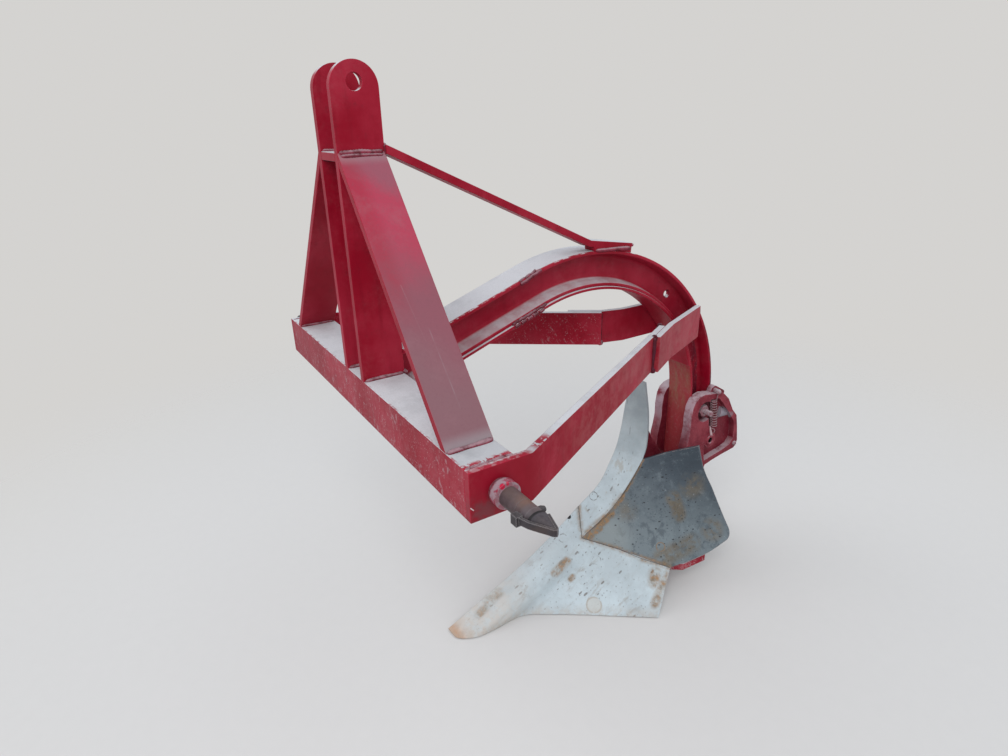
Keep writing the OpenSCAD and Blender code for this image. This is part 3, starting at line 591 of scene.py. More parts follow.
def board_steel(name, look):
    """Mouldboard: slate-blue oxide, lighter low down, with brown patches, pits and a rusty seam."""
    m = Finish(name, roughness=0.45, specular=0.4)
    cloud = m.noise(9, 6, 0.65)
    fine = m.noise(120, 4, 0.7)
    blot = m.noise(26, 6, 0.72)
    climb = (m.z + m.x * 0.45 + (cloud - 0.5) * 0.14).step(0.14, 0.37)
    patches = most(
        m.line((0.1123, 0.2326, 0.2183), (0.1297, 0.2386, 0.179), 0.01, 0.016),
        m.near((0.1227, 0.2826, 0.2421), 0.014, 0.03) * 0.8,
        m.near((0.1747, 0.3093, 0.1328), 0.014, 0.022),
        m.line((0.1654, 0.2529, 0.1099), (0.15, 0.165, 0.09), 0.01, 0.022) * 0.9,
        m.near((0.058, 0.13, 0.19), 0.008, 0.03) * 0.7)
    brown = patches * blot.step(0.36, 0.56) * 0.78
    seam = m.lines(SHIN_LINE, (0.015, 0.011, 0.005, 0.0012, 0.0006), 0.007).high(
        m.lines(BOARD_LINE, (0.0015, 0.001, 0.0015, 0.003), 0.01) * 0.8)
    rusty = (seam * (m.noise(60, 6, 0.75) + seam * 0.12).step(0.4, 0.66)).low(1.0)
    cluster = most(
        m.near((0.079, 0.2217, 0.2642), 0.02, 0.03), m.near((0.1027, 0.2049, 0.1931), 0.02, 0.03),
        m.near((0.141, 0.2342, 0.1465), 0.02, 0.03), m.near((0.0641, 0.1667, 0.2096), 0.015, 0.025))
    side = m.drawn(turn=(0, 1.2, 0.4))
    pits = m.pits(80, 0.17, 0.26, side).high(m.pits(120, 0.21, 0.5, side) * cluster)
    specks = m.pits(230, 0.24, 0.2, side)
    bolt = m.ring((0.1355, 0.1751, 0.1128), 0.011, 0.0012) * m.noise(70, 3).step(0.38, 0.48)
    chips = m.noise(150, 4, 0.7).step(0.63, 0.68) * m.noise(25, 3).step(0.42, 0.6)
    crack = m.lines(BOARD_LINE, (0.0003,) * 4, 0.0012).high(m.lines(SHIN_LINE, (0.0002,) * 5, 0.001))
    steel = m.coats(
        m.mix(climb, darker(look.board, 1.12), look.board_top),
        (blot.step(0.5, 0.72) * 0.5, darker(look.board, 1.5)),
        (m.noise(40, 5, 0.7).step(0.5, 0.66) * 0.55, darker(look.board_top, 0.85)),
        (m.near((0.06, 0.075, 0.135), 0.02, 0.06) * 0.5, (0.27, 0.3, 0.295)),
        (brown, m.mix(fine.step(0.4, 0.6), darker(look.brown, 0.8), (0.16, 0.13, 0.088))),
        (rusty * 0.9, m.mix(fine.step(0.38, 0.66), look.brown, darker(look.rust, 0.8))),
        (pits * 0.8, (0.02, 0.021, 0.025)),
        (specks * 0.5, (0.03, 0.033, 0.038)),
        (bolt * 0.8, (0.23, 0.15, 0.085)),
        (chips * 0.6, (0.3, 0.33, 0.34)),
        (crack * 0.8, (0.03, 0.02, 0.015)),
        (m.edge(0.003) * m.noise(50, 4).step(0.35, 0.55) * 0.7, (0.36, 0.29, 0.28)))
    height = (1 - pits) * 0.5 + (1 - specks) * 0.2 + fine * 0.15 + blot * 0.15 - bolt * 0.3 - crack * 0.4
    return m.done(steel, roughness=0.38 + blot * 0.25 + rusty * 0.3, metallic=0.22 - rusty * 0.22,
                  normal=m.bump(height, look.pit, 0.85))


def dark_steel(name, colour, dusty, worn=0.4, rust=(0.22, 0.1, 0.06), fold=False):
    """Bare steel: clouded, with rust, lighter on its edges as wear and painted highlight, dusty on top, and black
    as painted shade in a leaf's fold.
    """
    m = Finish(name, roughness=0.45, specular=0.35)
    cloud = m.noise(48, 5, 0.65)
    fine = m.noise(330, 3, 0.7)
    coats = [
        (m.noise(26, 4).step(0.52, 0.68) * 0.45, rust),
        (m.nz.step(0.25, 0.95) * fine.step(0.3, 0.6) * dusty, (0.36, 0.33, 0.32)),
        # Lighter edges: partly wear and partly painted highlight, the more so the higher worn is, as on the leaf.
        (m.edge(0.002) * worn, (0.36, 0.33, 0.33))]
    # Painted shade: black inside the leaf's fold.
    if fold:
        coats.append((abs(m.x).step(0.5022, 0.5002), (0.01, 0.008, 0.009)))
    steel = m.coats(m.mix(cloud.step(0.35, 0.68), darker(colour, 0.72), darker(colour, 1.3)), *coats)
    return m.done(steel, roughness=0.42 + cloud * 0.25, normal=m.bump(cloud * 0.5 + fine * 0.5, 0.0005, 0.5))


def collar_finish(name, colour):
    """Lift pin: a collar worn pale with red patches left, a painted highlight of bright red at its top front edge
    and painted shade round its base, and a brown shaft with a painted highlight on top.
    """
    m = Finish(name, roughness=0.45, specular=0.3)
    cloud = m.noise(48, 5, 0.65)
    fine = m.noise(300, 3, 0.7)
    out = abs(m.x)
    patch = m.noise(55, 5, 0.7) + m.nz.step(0.2, -0.6) * 0.16 + m.ny.step(0.1, 0.9) * 0.12
    # The spot at the collar's top front edge: red paint left there, made bright as a painted highlight.
    highlight_spot = m.near((0.4325, -0.4555, 0.6646), 0.003, 0.002).high(m.near((0.4325, -0.4475, 0.6665), 0.0015, 0.002))
    worn = m.coats(
        m.mix(patch.step(0.43, 0.57), (0.36, 0.26, 0.29), (0.3, 0.03, 0.06)),
        (abs(m.nx).step(0.5, 0.9) * 0.35, (0.4, 0.3, 0.33)),
        ((highlight_spot * (m.noise(300, 3) + 0.35)).step(0.4, 0.6), (0.56, 0.008, 0.05)),
        # Painted shade: dark red round the collar's base by the arm.
        (out.step(0.4205, 0.4185) * 0.7, (0.09, 0.006, 0.014)))
    steel = m.coats(
        m.mix(cloud.step(0.35, 0.68), darker(colour, 0.75), darker(colour, 1.2)),
        # Painted highlight: lighter brown on the shaft's upper faces.
        (m.nz.step(0.4, 1.0) * 0.25, (0.22, 0.145, 0.12)),
        (m.near((0.475, -0.438, 0.661), 0.006, 0.02) * 0.3, (0.26, 0.12, 0.06)),
        (out.step(0.476, 0.484) * 0.55, (0.105, 0.088, 0.1)),
        (out.step(0.4345, 0.4325), worn),
        (m.edge(0.002) * 0.3, (0.36, 0.32, 0.32)))
    return m.done(steel, roughness=0.42 + cloud * 0.2, normal=m.bump(cloud * 0.5 + fine * 0.5, 0.0006, 0.5))


def bolt_finish(name):
    """Bolts and nuts of the head: grey-pink, dark red on faces that look sideways and down, pale on faces that look
    up.
    """
    m = Finish(name, roughness=0.45, specular=0.3)
    cloud = m.noise(70, 5, 0.65)
    steel = m.coats(
        m.mix(cloud.step(0.4, 0.65), (0.24, 0.1, 0.12), (0.36, 0.3, 0.32)),
        ((-m.nz).step(-0.2, 0.8) * 0.75, (0.12, 0.01, 0.02)),
        (m.nz.step(0.4, 1.0) * 0.5, (0.5, 0.44, 0.46)))
    return m.done(steel, roughness=0.42 + cloud * 0.2, normal=m.bump(cloud, 0.0006, 0.5))


# Forms: rings of points with a skin over them

def placed(points):
    """Source millimetres, with y from the toolbar's front, to metres in the plough's frame."""
    return (np.asarray(points, float) - (0, MIDDLE_Y, 0)) / 1000


def unit(vectors):
    """The vectors with their lengths made 1."""
    return vectors / np.linalg.norm(vectors, axis=-1, keepdims=True)


def volume(points, quads):
    """Signed volume between quads and the origin, times six: positive where they face away from it."""
    a, b, c, d = (points[quads[:, k]] for k in range(4))
    return (np.cross(a, b) * c).sum() + (np.cross(a, c) * d).sum()


def lofted(rings):
    """Skin over rings of points (n, m, 3), its two ends capped, turned outwards by the sign of its volume."""
    n, m = rings.shape[:2]
    points = rings.reshape(-1, 3)
    row = np.arange(n - 1)[:, None] * m
    col = np.arange(m)[None, :]
    after = (col + 1) % m
    sides = np.stack([row + col, row + after, row + m + after, row + m + col], -1).reshape(-1, 4)
    local = points - points.mean(0)
    held = volume(local, sides)
    for ring, turn in ((local[:m], -1), (local[-m:], 1)):
        held += turn * (np.cross(ring, np.roll(ring, -1, 0)) @ ring.mean(0)).sum()
    faces = sides.tolist() + [list(range(m - 1, -1, -1)), list(range((n - 1) * m, n * m))]
    return points, [f[::-1] for f in faces] if held < 0 else faces


def joined(parts):
    """Several skins as one list of points and faces."""
    points, faces, start = [], [], 0
    for p, f in parts:
        points.append(p)
        faces += [[i + start for i in face] for face in f]
        start += len(p)
    return np.vstack(points), faces


def piece(name, skin, material, body, nodes=(), sharp=40, weighted=True):
    """Object with its place in its mesh, smooth but for edges over the sharp angle."""
    points, faces = skin
    mesh = bpy.data.meshes.new(name)
    mesh.from_pydata(np.asarray(points).tolist(), [], faces)
    mesh.polygons.foreach_set("use_smooth", np.ones(len(mesh.polygons), bool))
    mesh.set_sharp_from_angle(angle=math.radians(sharp))
    mesh.update()
    made = bpy.data.objects.new(name, mesh)
    bpy.context.scene.collection.objects.link(made)
    mesh.materials.append(material)
    if weighted:
        made.modifiers.new("even_shading", "WEIGHTED_NORMAL").keep_sharp = True
    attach(made, body)
    if nodes:
        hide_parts(*nodes)
    return made


def merged(node):
    """Points and triangles of a CAD node with equal corners joined."""
    mesh = NODES[node].data
    points = np.empty(len(mesh.vertices) * 3)
    mesh.vertices.foreach_get("co", points)
    corner = np.empty(len(mesh.loops), int)
    mesh.loops.foreach_get("vertex_index", corner)
    points, same = np.unique(points.reshape(-1, 3).round(6), axis=0, return_inverse=True)
    faces = same.ravel()[corner].reshape(-1, 3)
    kept = (faces[:, 0] != faces[:, 1]) & (faces[:, 1] != faces[:, 2]) & (faces[:, 2] != faces[:, 0])
    return points, faces[kept].tolist()


def bevelled(made, name, width, segments, angle):
    """Rounds a piece's edges that are sharper than an angle in degrees."""
    bevel = made.modifiers.new(name, "BEVEL")
    bevel.width = width
    bevel.segments = segments
    bevel.limit_method = "ANGLE"
    bevel.angle_limit = math.radians(angle)
    bevel.harden_normals = True


def softened(node, radius, material, body, segments=2):
    """Merged copy of a CAD node whose sharp edges are rounded to a radius."""
    made = piece(f"{node}_bar", merged(node), material, body, (node,), weighted=False)
    flat = made.modifiers.new("flat_faces", "DECIMATE")
    flat.decimate_type = "DISSOLVE"
    flat.angle_limit = math.radians(0.6)
    bevelled(made, "rounded_edges", radius, segments, 38)


def round_x(x, r, turn, at):
    """Skin over rings about an axis along x through (y, z): radii r (n, 1) or (n, sides) at places x (n,)."""
    r = r + 0 * turn
    return lofted(np.stack([
        np.broadcast_to(x[:, None], r.shape), at[0] + r * np.cos(turn), at[1] + r * np.sin(turn)], -1))


def turned(profile, at, sides):
    """Profile of (x, radius) pairs carried round an axis along x at (y, z)."""
    x, r = np.asarray(profile, float).T
    return round_x(x, r[:, None], np.linspace(0, 2 * math.pi, sides, endpoint=False), at)


def hex_nut(x0, x1, across, at, hole):
    """Nut about an axis along x: the lesser of a hexagon's radius and a chamfer cone's at each turn."""
    turn = np.linspace(0, 2 * math.pi, 72, endpoint=False)
    hexagon = across / 2 / np.cos((turn % (math.pi / 3)) - math.pi / 6)
    depth = np.array([0, 0, 0.4, 0.9, 1.6, 2.6])
    cone = across / 2 - 1.0 + np.concatenate([depth, depth[::-1]]) * 1.9
    r = np.minimum(hexagon[None, :], cone[:, None])
    r[0] = r[-1] = hole
    return round_x(np.concatenate([x0 + depth, (x1 - depth)[::-1]]), r, turn, at)


def arc(centre, radius, start, end, count):
    """Points on a circle's arc between two angles in degrees."""
    a = np.radians(np.linspace(start, end, count))
    return np.stack([centre[0] + radius * np.cos(a), centre[1] + radius * np.sin(a)], -1)


def square_to(along):
    """Two directions square to each unit direction and to each other."""
    aside = unit(np.cross(along, (0.31, 0.52, 0.79)))
    return aside, np.cross(along, aside)


def round_path(path, size, across, turn):
    """Skin over rings about a path's points (n, 3): radii size (n, 1) or (n, sides) at the angles turn."""
    aside, other = (way[..., None, :] for way in across)
    return lofted(path[:, None] + size[..., None] * (
        np.cos(turn)[:, None] * aside + np.sin(turn)[:, None] * other))


def tube(path, radius, sides):
    """Round tube along a path, with one radius or one for each point: rings across its tangent."""
    path = np.asarray(path, float)
    size = np.full(len(path), radius)[:, None]
    turn = np.linspace(0, 2 * math.pi, sides, endpoint=False)
    return round_path(path, size, square_to(unit(np.gradient(path, axis=0))), turn)


def bead(start, end, radius, pitch, seed):
    """Weld bead between two points: a round swell whose radius ripples in crescents and wanders a little."""
    rng = np.random.default_rng(seed)
    length = np.linalg.norm(end - start)
    s = np.linspace(0, 1, max(12, int(length / 0.0011)))
    aside, other = square_to((end - start) / length)
    turn = np.linspace(0, 2 * math.pi, 12, endpoint=False)
    knots = rng.uniform(-1, 1, (3, max(4, int(length / 0.012))))
    where = np.linspace(0, 1, knots.shape[1])
    drift = np.stack([np.interp(s, where, k) for k in knots], -1)
    skew = np.cos(turn - math.pi / 4)[None, :] * radius * 0.9
    ripple = np.sin(2 * math.pi * (s[:, None] * length + skew) / pitch)
    ends = np.sqrt(np.clip(1 - np.abs(2 * s - 1) ** 14, 0.02, 1))
    size = radius * ends[:, None] * (1 + 0.085 * ripple + 0.16 * drift[:, :1])
    path = start + s[:, None] * (end - start) + radius * 0.16 * (drift[:, 1:2] * aside + drift[:, 2:] * other)
    return round_path(path, size, (aside, other), turn)


def linch_leaf(side):
    """Folded leaf of a linch pin's clip, ahead of the lift pin's end.

    Arches across x fall and narrow to the tip, an outer shell of them and, 1.7 mm inside, an inner one.
    side is 1 on the plough's left and -1 on its right.
    """
    x = np.array([15.2, 19.5, 25, 31, 36, 41, 45, 48, 50.5])
    near = np.array([-14.4, -12.4, -9.6, -6.2, -3.2, -0.3, 1.4, 2.6, 3.6])
    far = np.array([15.4, 14.6, 12.4, 10.4, 9.0, 7.6, 6.4, 5.4, 4.4])
    rise = np.array([11.6, 11.0, 10.2, 9.0, 7.6, 6.0, 4.6, 3.2, 2.0])
    turn = np.linspace(0, math.pi, 20)
    shells = []
    for inside, way in ((0.0, turn), (1.7, turn[::-1])):
        half = np.clip((far - near) / 2 - inside, 0.3, None)[:, None]
        high = np.clip(rise - inside, 0.4, None)[:, None]
        y = (far + near)[:, None] / 2 - half * np.cos(way)
        shells.append(np.stack([np.broadcast_to(x[:, None], y.shape), y, 1.2 + high * np.sin(way)], -1))
    arches = np.concatenate(shells, 1) + LINCH_PIN
    return lofted(placed(arches * (side, 1, 1)))


# The beam, swept along its line in the side view, in source millimetres

def beam_line(start, shank):
    """Stations along the beam: origin of each ring and its outward direction in (y, z).

    The shank stands below the bend's centre, the bend turns about it from the angle start, and the run goes
    forward and down along its tangent to the toolbar.
    """
    turn = np.linspace(start, math.pi / 2 + SLOPE, 78)
    centre = np.repeat(BEND[None], len(turn), 0)
    out = np.stack([np.cos(turn), np.sin(turn)], -1)
    if shank:
        height = np.linspace(SHANK_END, BEND[1] - 6, 9)
        centre = np.vstack([np.stack([np.full(9, BEND[0]), height], -1), centre])
        out = np.vstack([np.repeat([[1.0, 0.0]], 9, 0), out])
    ahead = np.array([-math.cos(SLOPE), -math.sin(SLOPE)])
    run = np.linspace(8, 300, 12)
    centre = np.vstack([centre, BEND + run[:, None] * ahead])
    out = np.vstack([out, np.repeat(out[-1:], 12, 0)])
    return centre, out, ahead


def swept_section(section, start, shank):
    """Section of (x, radius) pairs carried along the beam, cut off square to y at the toolbar's rear face."""
    centre, out, ahead = beam_line(start, shank)
    y = centre[:, None, 0] + section[None, :, 1] * out[:, None, 0]
    z = centre[:, None, 1] + section[None, :, 1] * out[:, None, 1]
    limit = BAR_W + 0.05
    past = np.clip(limit - y, 0, None) / -ahead[0]
    y, z = y - past * ahead[0], z - past * ahead[1]
    keep = np.ones(len(y), bool)
    gone = np.where((y <= limit + 1e-9).all(1))[0]
    keep[gone[1:]] = False
    x = np.broadcast_to(BEAM_X + section[None, :, 0], y.shape)
    return lofted(placed(np.stack([x, y, z], -1)[keep]))


def corner(x, r, radius, start, end):
    """Rounded corner of a section about a centre at (x, r), between two angles in degrees."""
    return arc((x, r), radius, start, end, 4)


def i_section():
    """Tapered I: flanges 7 mm at the tip and 11 mm at the root, root fillets of 10 mm, tips rounded."""
    w, q, root = BEAM_W / 2, 4.0, 10.0
    outer, inner = BEAM_R, BEAM_R - BEAM_D
    half = np.vstack([
        [[0, outer], [w * 0.6, outer]], corner(w - 1.8, outer - 1.8, 1.8, 90, 0),
        corner(w - 2.2, outer - 4.8, 2.2, 0, -80), [[q + root + 6, outer - 10.4]],
        arc((q + root, outer - 11 - root), root, 90, 180, 8), [[q, (outer + inner) / 2]],
        arc((q + root, inner + 11 + root), root, 180, 270, 8), [[q + root + 6, inner + 10.4]],
        corner(w - 2.2, inner + 4.8, 2.2, 80, 0), corner(w - 1.8, inner + 1.8, 1.8, 0, -90),
        [[w * 0.6, inner], [0, inner]]])
    other = half[1:-1][::-1] * (-1, 1)
    return np.vstack([half, other])


def strap_section():
    """The strap's 6 mm flat under the inner flange, set 4 mm to the left, its corners rounded."""
    lo, hi = BEAM_R - BEAM_D - 6.15, BEAM_R - BEAM_D - 0.15
    left, right = -BEAM_W / 2 + 4, BEAM_W / 2 + 4
    return np.vstack([
        corner(right - 1.4, hi - 1.4, 1.4, 90, 0), corner(right - 1.4, lo + 1.4, 1.4, 0, -90),
        corner(left + 1.4, lo + 1.4, 1.4, 270, 180), corner(left + 1.4, hi - 1.4, 1.4, 180, 90)])


# The bottom's plates, in source millimetres

def on_curve(points, u):
    """Smooth curve through listed points at shares u of the way: cubic pieces, each from its four neighbours."""
    points = np.asarray(points, float)
    n = len(points) - 1
    i = np.minimum((u * n).astype(int), n - 1)
    f = (u * n - i)[..., None]
    wide = np.vstack([2 * points[0] - points[1], points, 2 * points[-1] - points[-2]])
    a, b, c, d = (wide[i + k] for k in range(4))
    return b + 0.5 * f * ((c - a) + f * ((2 * a - 5 * b + 4 * c - d) + f * (3 * b - a - 3 * c + d)))


def on_two(first, second, s, u):
    """Two such curves joined at the share s."""
    low = on_curve(first, np.clip(u / s, 0, 1))
    high = on_curve(second, np.clip((u - s) / (1 - s), 0, 1))
    return np.where((u < s)[..., None], low, high)


def between(bottom, top, left, right, corners, u, v):
    """Surface between four edge curves: their two rulings less the corners' bilinear part."""
    c00, c10, c01, c11 = (np.asarray(c, float) for c in corners)
    u, v = u[..., None], v[..., None]
    return (bottom * (1 - v) + top * v + left * (1 - u) + right * u
            - c00 * (1 - u) * (1 - v) - c10 * u * (1 - v) - c01 * (1 - u) * v - c11 * u * v)


LANDSIDE = -20.0
SINK = {
    "landside": np.array([0, 0.9, -0.43]), "share": np.array([-0.68, 0.38, -0.63]),
    "seam": np.array([-0.8, 0.48, -0.36]), "board": np.array([-0.5, 0.85, -0.15]), "shin": np.array([0, 0.3, 0.1])}


def back_of(p):
    """Direction from a plate's face to its back, blended from five directions by place.

    off grows over 60 mm away from the landside, up from 60 to 210 mm above the ground, high from 200 to 400 mm.
    """
    off = np.clip((p[..., 0] - LANDSIDE) / 60, 0, 1)[..., None]
    up = np.clip((p[..., 2] - 60) / 150, 0, 1)[..., None]
    high = np.clip((p[..., 2] - 200) / 200, 0, 1)[..., None]
    low = SINK["share"] * (1 - up) + SINK["seam"] * up
    return unit(
        SINK["landside"] * (1 - off) + (low * (1 - high) + SINK["board"] * high) * off + SINK["shin"] * high)


def plate(grid, thick, wear):
    """Closed plate over a grid of face points: the face, dented a little, its back and the rim between them."""
    nv, nu = grid.shape[:2]
    sink = back_of(grid)
    dents = (np.sin(grid[..., 0] * 0.061 + grid[..., 2] * 0.043) * np.sin(grid[..., 1] * 0.037 + 1.3)
             + 0.5 * np.sin(grid[..., 1] * 0.113 + grid[..., 2] * 0.09))
    rows, columns = np.arange(nv), np.arange(nu)
    rim = np.minimum.outer(np.minimum(rows, rows[::-1]), np.minimum(columns, columns[::-1]))
    inside = np.clip(rim / 8, 0, 1)
    front = grid + sink * ((dents + 1) * wear * inside)[..., None]
    back = grid + sink * thick
    back[..., 2] = np.maximum(back[..., 2], 0)
    m = nu * nv
    a = (rows[:-1, None] * nu + columns[None, :-1]).ravel()
    face = np.stack([a, a + 1, a + nu + 1, a + nu], -1)
    hem = np.concatenate([columns[:-1], rows[:-1] * nu + nu - 1,
                          (nv - 1) * nu + columns[:0:-1], rows[:0:-1] * nu])
    after = np.roll(hem, -1)
    skirt = np.stack([hem, m + hem, m + after, after], -1)
    faces = np.vstack([face, (face + m)[:, ::-1], skirt])
    points = placed(np.vstack([front.reshape(-1, 3), back.reshape(-1, 3)]))
    outward = volume(points - points.mean(0), faces) > 0
    return points, (faces if outward else faces[:, ::-1]).tolist()


JUNCTION, THROAT, HEEL = [LANDSIDE, 533, 197], [23, 512, 135], [170, 670, 72]
BOARD_CORNER, BOARD_TIP, BOARD_REAR = [34, 690, 304], [128, 778, 356], [210, 839, 119]
LANDSIDE_EDGE = [[LANDSIDE, 154, 3], [LANDSIDE, 242, 41], [LANDSIDE, 359, 92], [LANDSIDE, 446, 140], JUNCTION]
CUTTING_EDGE = [[LANDSIDE, 154, 3], [16, 159, 2], [38, 195, 2], [42, 239, 2], [41, 321, 2],
                [75, 381, 2], [116, 440, 2], [170, 512, 2], [224, 584, 2]]
SEAM = [THROAT, [85, 580, 111], HEEL]
SHIN_SEAM = [THROAT, [28, 592, 184], [32, 634, 228], [34, 671, 277], BOARD_CORNER]
SHIN_FREE = [BOARD_CORNER, [34, 699, 340], [34, 697, 420], [30, 684, 510]]
SHIN_FRONT = [JUNCTION, [LANDSIDE, 596, 239], [LANDSIDE, 628, 289], [LANDSIDE, 647, 325],
              [LANDSIDE, 661, 374], [LANDSIDE, 671, 435], [LANDSIDE, 684, 510]]
BOARD_BOTTOM = [HEEL, [190, 770, 82], BOARD_REAR]
BOARD_RIGHT = [BOARD_REAR, [170, 834, 179], [150, 818, 236], [131, 803, 285], BOARD_TIP]
PLATE_T, SEAM_GAP = 9.5, 0.6


def worn_round(u, v, a, b):
    """Grid shares with the corner at (1, 0) rounded: within a and b of it the square goes onto a quarter disc."""
    p, q = np.clip((u - 1 + a) / a, 0, 1), np.clip(1 - v / b, 0, 1)
    return (np.where(p > 0, 1 - a + a * p * np.sqrt(1 - q ** 2 / 2), u),
            np.where(q > 0, b - b * q * np.sqrt(1 - p ** 2 / 2), v))


def share_face():
    """Face of the share: between its cutting edge, the landside's edge, its wing and the seams above."""
    u, v = np.meshgrid(np.linspace(0, 1, 141), np.linspace(0, 1, 61))
    return between(
        on_curve(CUTTING_EDGE, u), on_two([JUNCTION, THROAT], SEAM, 1 / 3, u),
        on_curve(LANDSIDE_EDGE, v), on_curve([CUTTING_EDGE[8], HEEL], v),
        (CUTTING_EDGE[0], CUTTING_EDGE[8], JUNCTION, HEEL), u, v)


def shin_face():
    """Face of the shin: straight across from its front edge to its seam and, above the board, its free edge.

    At its lower end it is held off the share by the seams' gap, as the mouldboard is along its seams.
    """
    u, v = np.meshgrid(np.linspace(0, 1, 17), np.linspace(0, 1, 101))
    return (on_curve(SHIN_FRONT, v) * (1 - u[..., None]) + on_two(SHIN_SEAM, SHIN_FREE, 0.5, v) * u[..., None]
            + np.array([0, 0.3, 0.95]) * SEAM_GAP * (1 - v[..., None]))


def board_face():
    """Face of the mouldboard: between its seams, its lower, right and top edges, with the low corner worn round."""
    u, v = np.meshgrid(np.linspace(0, 1, 101), np.linspace(0, 1, 81))
    u, v = worn_round(u, v, 0.055, 0.08)
    shift = (1 - u) * (1 - v) + np.maximum(0, 1 - 2 * u) * v + (1 - v) * u
    return between(
        on_two(SEAM, BOARD_BOTTOM, 0.5, u), on_curve([BOARD_CORNER, [80, 735, 332], BOARD_TIP], u),
        on_curve(SHIN_SEAM, v), on_curve(BOARD_RIGHT, v),
        (THROAT, BOARD_REAR, BOARD_CORNER, BOARD_TIP), u, v
    ) + np.array([0.4, 0.8, 0.6]) * SEAM_GAP * shift[..., None]


# Operators

class PLOUGH_OT_frame_bars(bpy.types.Operator):
    """Toolbar, arms, tails, mast, legs and brace as rolled bars with rounded edges"""

    bl_idname = "plough.frame_bars"
    bl_label = "Frame bars"

    def execute(self, context):
        look = context.scene.plough_paint
        mast = red_paint("mast_red", look, film=0.1)
        legs = red_paint("leg_red", look, film=0.1, over=leg_tone, settle=(0.75, 0.92))
        tool = red_paint("toolbar_red", look, film=0.45, specks=0.45, streaks=0.72, bare=toolbar_bare)
        arms = red_paint("arm_red", look, film=0.16, bare=arm_bare, over=arm_tone)
        far = red_paint("far_arm_red", look, film=0.1, specks=0.26)
        brace = red_paint("brace_red", look, film=0.05, settle=(0.6, 0.85))
        for nodes, material in (
                (("upright_left", "upright_right", "mast_spacer"), mast), (("leg_left", "leg_right"), legs),
                (("toolbar",), tool), (("side_arm_left", "arm_tail_left"), arms),
                (("side_arm_right",), far), (("arm_tail_right",), mast), (("top_brace",), brace)):
            for node in nodes:
                softened(node, look.edge, material, "frame")
        return {"FINISHED"}


def cut_web_hole(beam, context):
    """Cuts the hole in the beam's web, with a dish round it on the left side."""
    at = math.radians(WEB_HOLE_TURN)
    hole = BEND + WEB_HOLE_R * np.array([math.cos(at), math.sin(at)])
    profile = [(0.0, 0.007), (0.0198, 0.007), (0.0226, 0.0098), (0.036, 0.0098)]
    points, faces = turned(profile, placed((0, *hole))[1:], 48)
    mesh = bpy.data.meshes.new("web_hole_cut")
    mesh.from_pydata(points.tolist(), [], faces)
    cutter = bpy.data.objects.new("web_hole_cut", mesh)
    context.scene.collection.objects.link(cutter)
    cut = beam.modifiers.new("web_hole", "BOOLEAN")
    cut.operation = "DIFFERENCE"
    cut.solver = "EXACT"
    cut.object = cutter
    with context.temp_override(object=beam, active_object=beam, selected_objects=[beam]):
        bpy.ops.object.modifier_move_to_index(modifier="web_hole", index=0)
        bpy.ops.object.modifier_apply(modifier="web_hole")
    bpy.data.objects.remove(cutter)


class PLOUGH_OT_beam(bpy.types.Operator):
    """Curved I-beam and its strap, swept with rolled fillets"""

    bl_idname = "plough.beam"
    bl_label = "Beam and strap"

    def execute(self, context):
        look = context.scene.plough_paint
        red = red_paint("beam_red", look, film=0.12, over=beam_tone, bare=beam_bare, settle=(0.3, 0.65))
        beam = piece("beam_sweep", swept_section(i_section(), 0.0, True), red, "frame", ("beam",))
        cut_web_hole(beam, context)
        strap = red_paint("strap_red", look, film=0.2, settle=(0.45, 0.9))
        piece("strap_sweep", swept_section(strap_section(), STRAP_START, False), strap,
              "frame", ("beam_strap",))
        return {"FINISHED"}


# Weld beads as (start, end, radius), in source millimetres

def mast_beads(r):
    """On each side: beads at the leg's foot, the upright, the leg's top, the spacer and the side arm."""
    found = []
    for s in (1, -1):
        for x, y0, y1, z, size in (
                (LEG_FOOT + 1, 2, 74, TOOL_TOP + 1, 1), (LEG_FOOT - 17.5, 2, 74, TOOL_TOP + 1, 1),
                (EAR_FACE + 0.5, 3, 73, TOOL_TOP + 0.5, 1), (EAR_FACE - 13.2, 3, 73, TOOL_TOP + 0.5, 1),
                (EAR_FACE + 1, 3, 73, LEG_TOP, 0.9), (EAR_FACE + 3.5, 4, 72, LEG_TOP - 5, 0.75),
                (SPACER_END, 3, 73, LEG_TOP + 0.5, 0.7), (SPACER_END, 3, 73, LEG_TOP - 13, 0.7),
                (ARM_FACE, 2, 74, TOOL_TOP - 1.2, 0.62)):
            found.append(((s * x, y0, z), (s * x, y1, z), r * size))
        found.append(((s * ARM_FACE, 76.5, ARM_LOW), (s * ARM_FACE, 76.5, ARM_HIGH), r))
        found.append(((s * (ARM_FACE - 0.2), 2, 611), (s * (ARM_FACE - 0.2), 74, 611), r * 0.62))
    return found


def in_plan(start, end):
    """An arm's end in plan, the way to it from its start and the way square to that."""
    way = unit(np.subtract(end, start))
    return end, way, np.array([way[1], -way[0]])


def lap_beads(r):
    """Across the left tail's end on the arm and the arm's end behind the tail, with blobs at their corners."""
    end, way, outside = in_plan((412.5, 99.5), (125.4, 636.5))
    found = []
    for along, off in ((-76.5, 0.5), (0.5, -12.2)):
        at = end + way * along + outside * off
        found.append(((*at, 612), (*at, 684.5), r * 1.15))
        found += [((*(at - way * 2), z), (*(at + way * 4), z), r * 1.45) for z in (613, 683)]
    return found


def far_beads(r):
    """At the right arm's end, on its tail."""
    end, way, inside = in_plan((-412.5, 99.5), (-34.0, 598))
    at = end - way * 0.5
    return [((*at, ARM_LOW), (*at, ARM_HIGH), r * 0.7), ((*at, 611), (*(at + inside * 4), ARM_LOW), r * 1.5)]


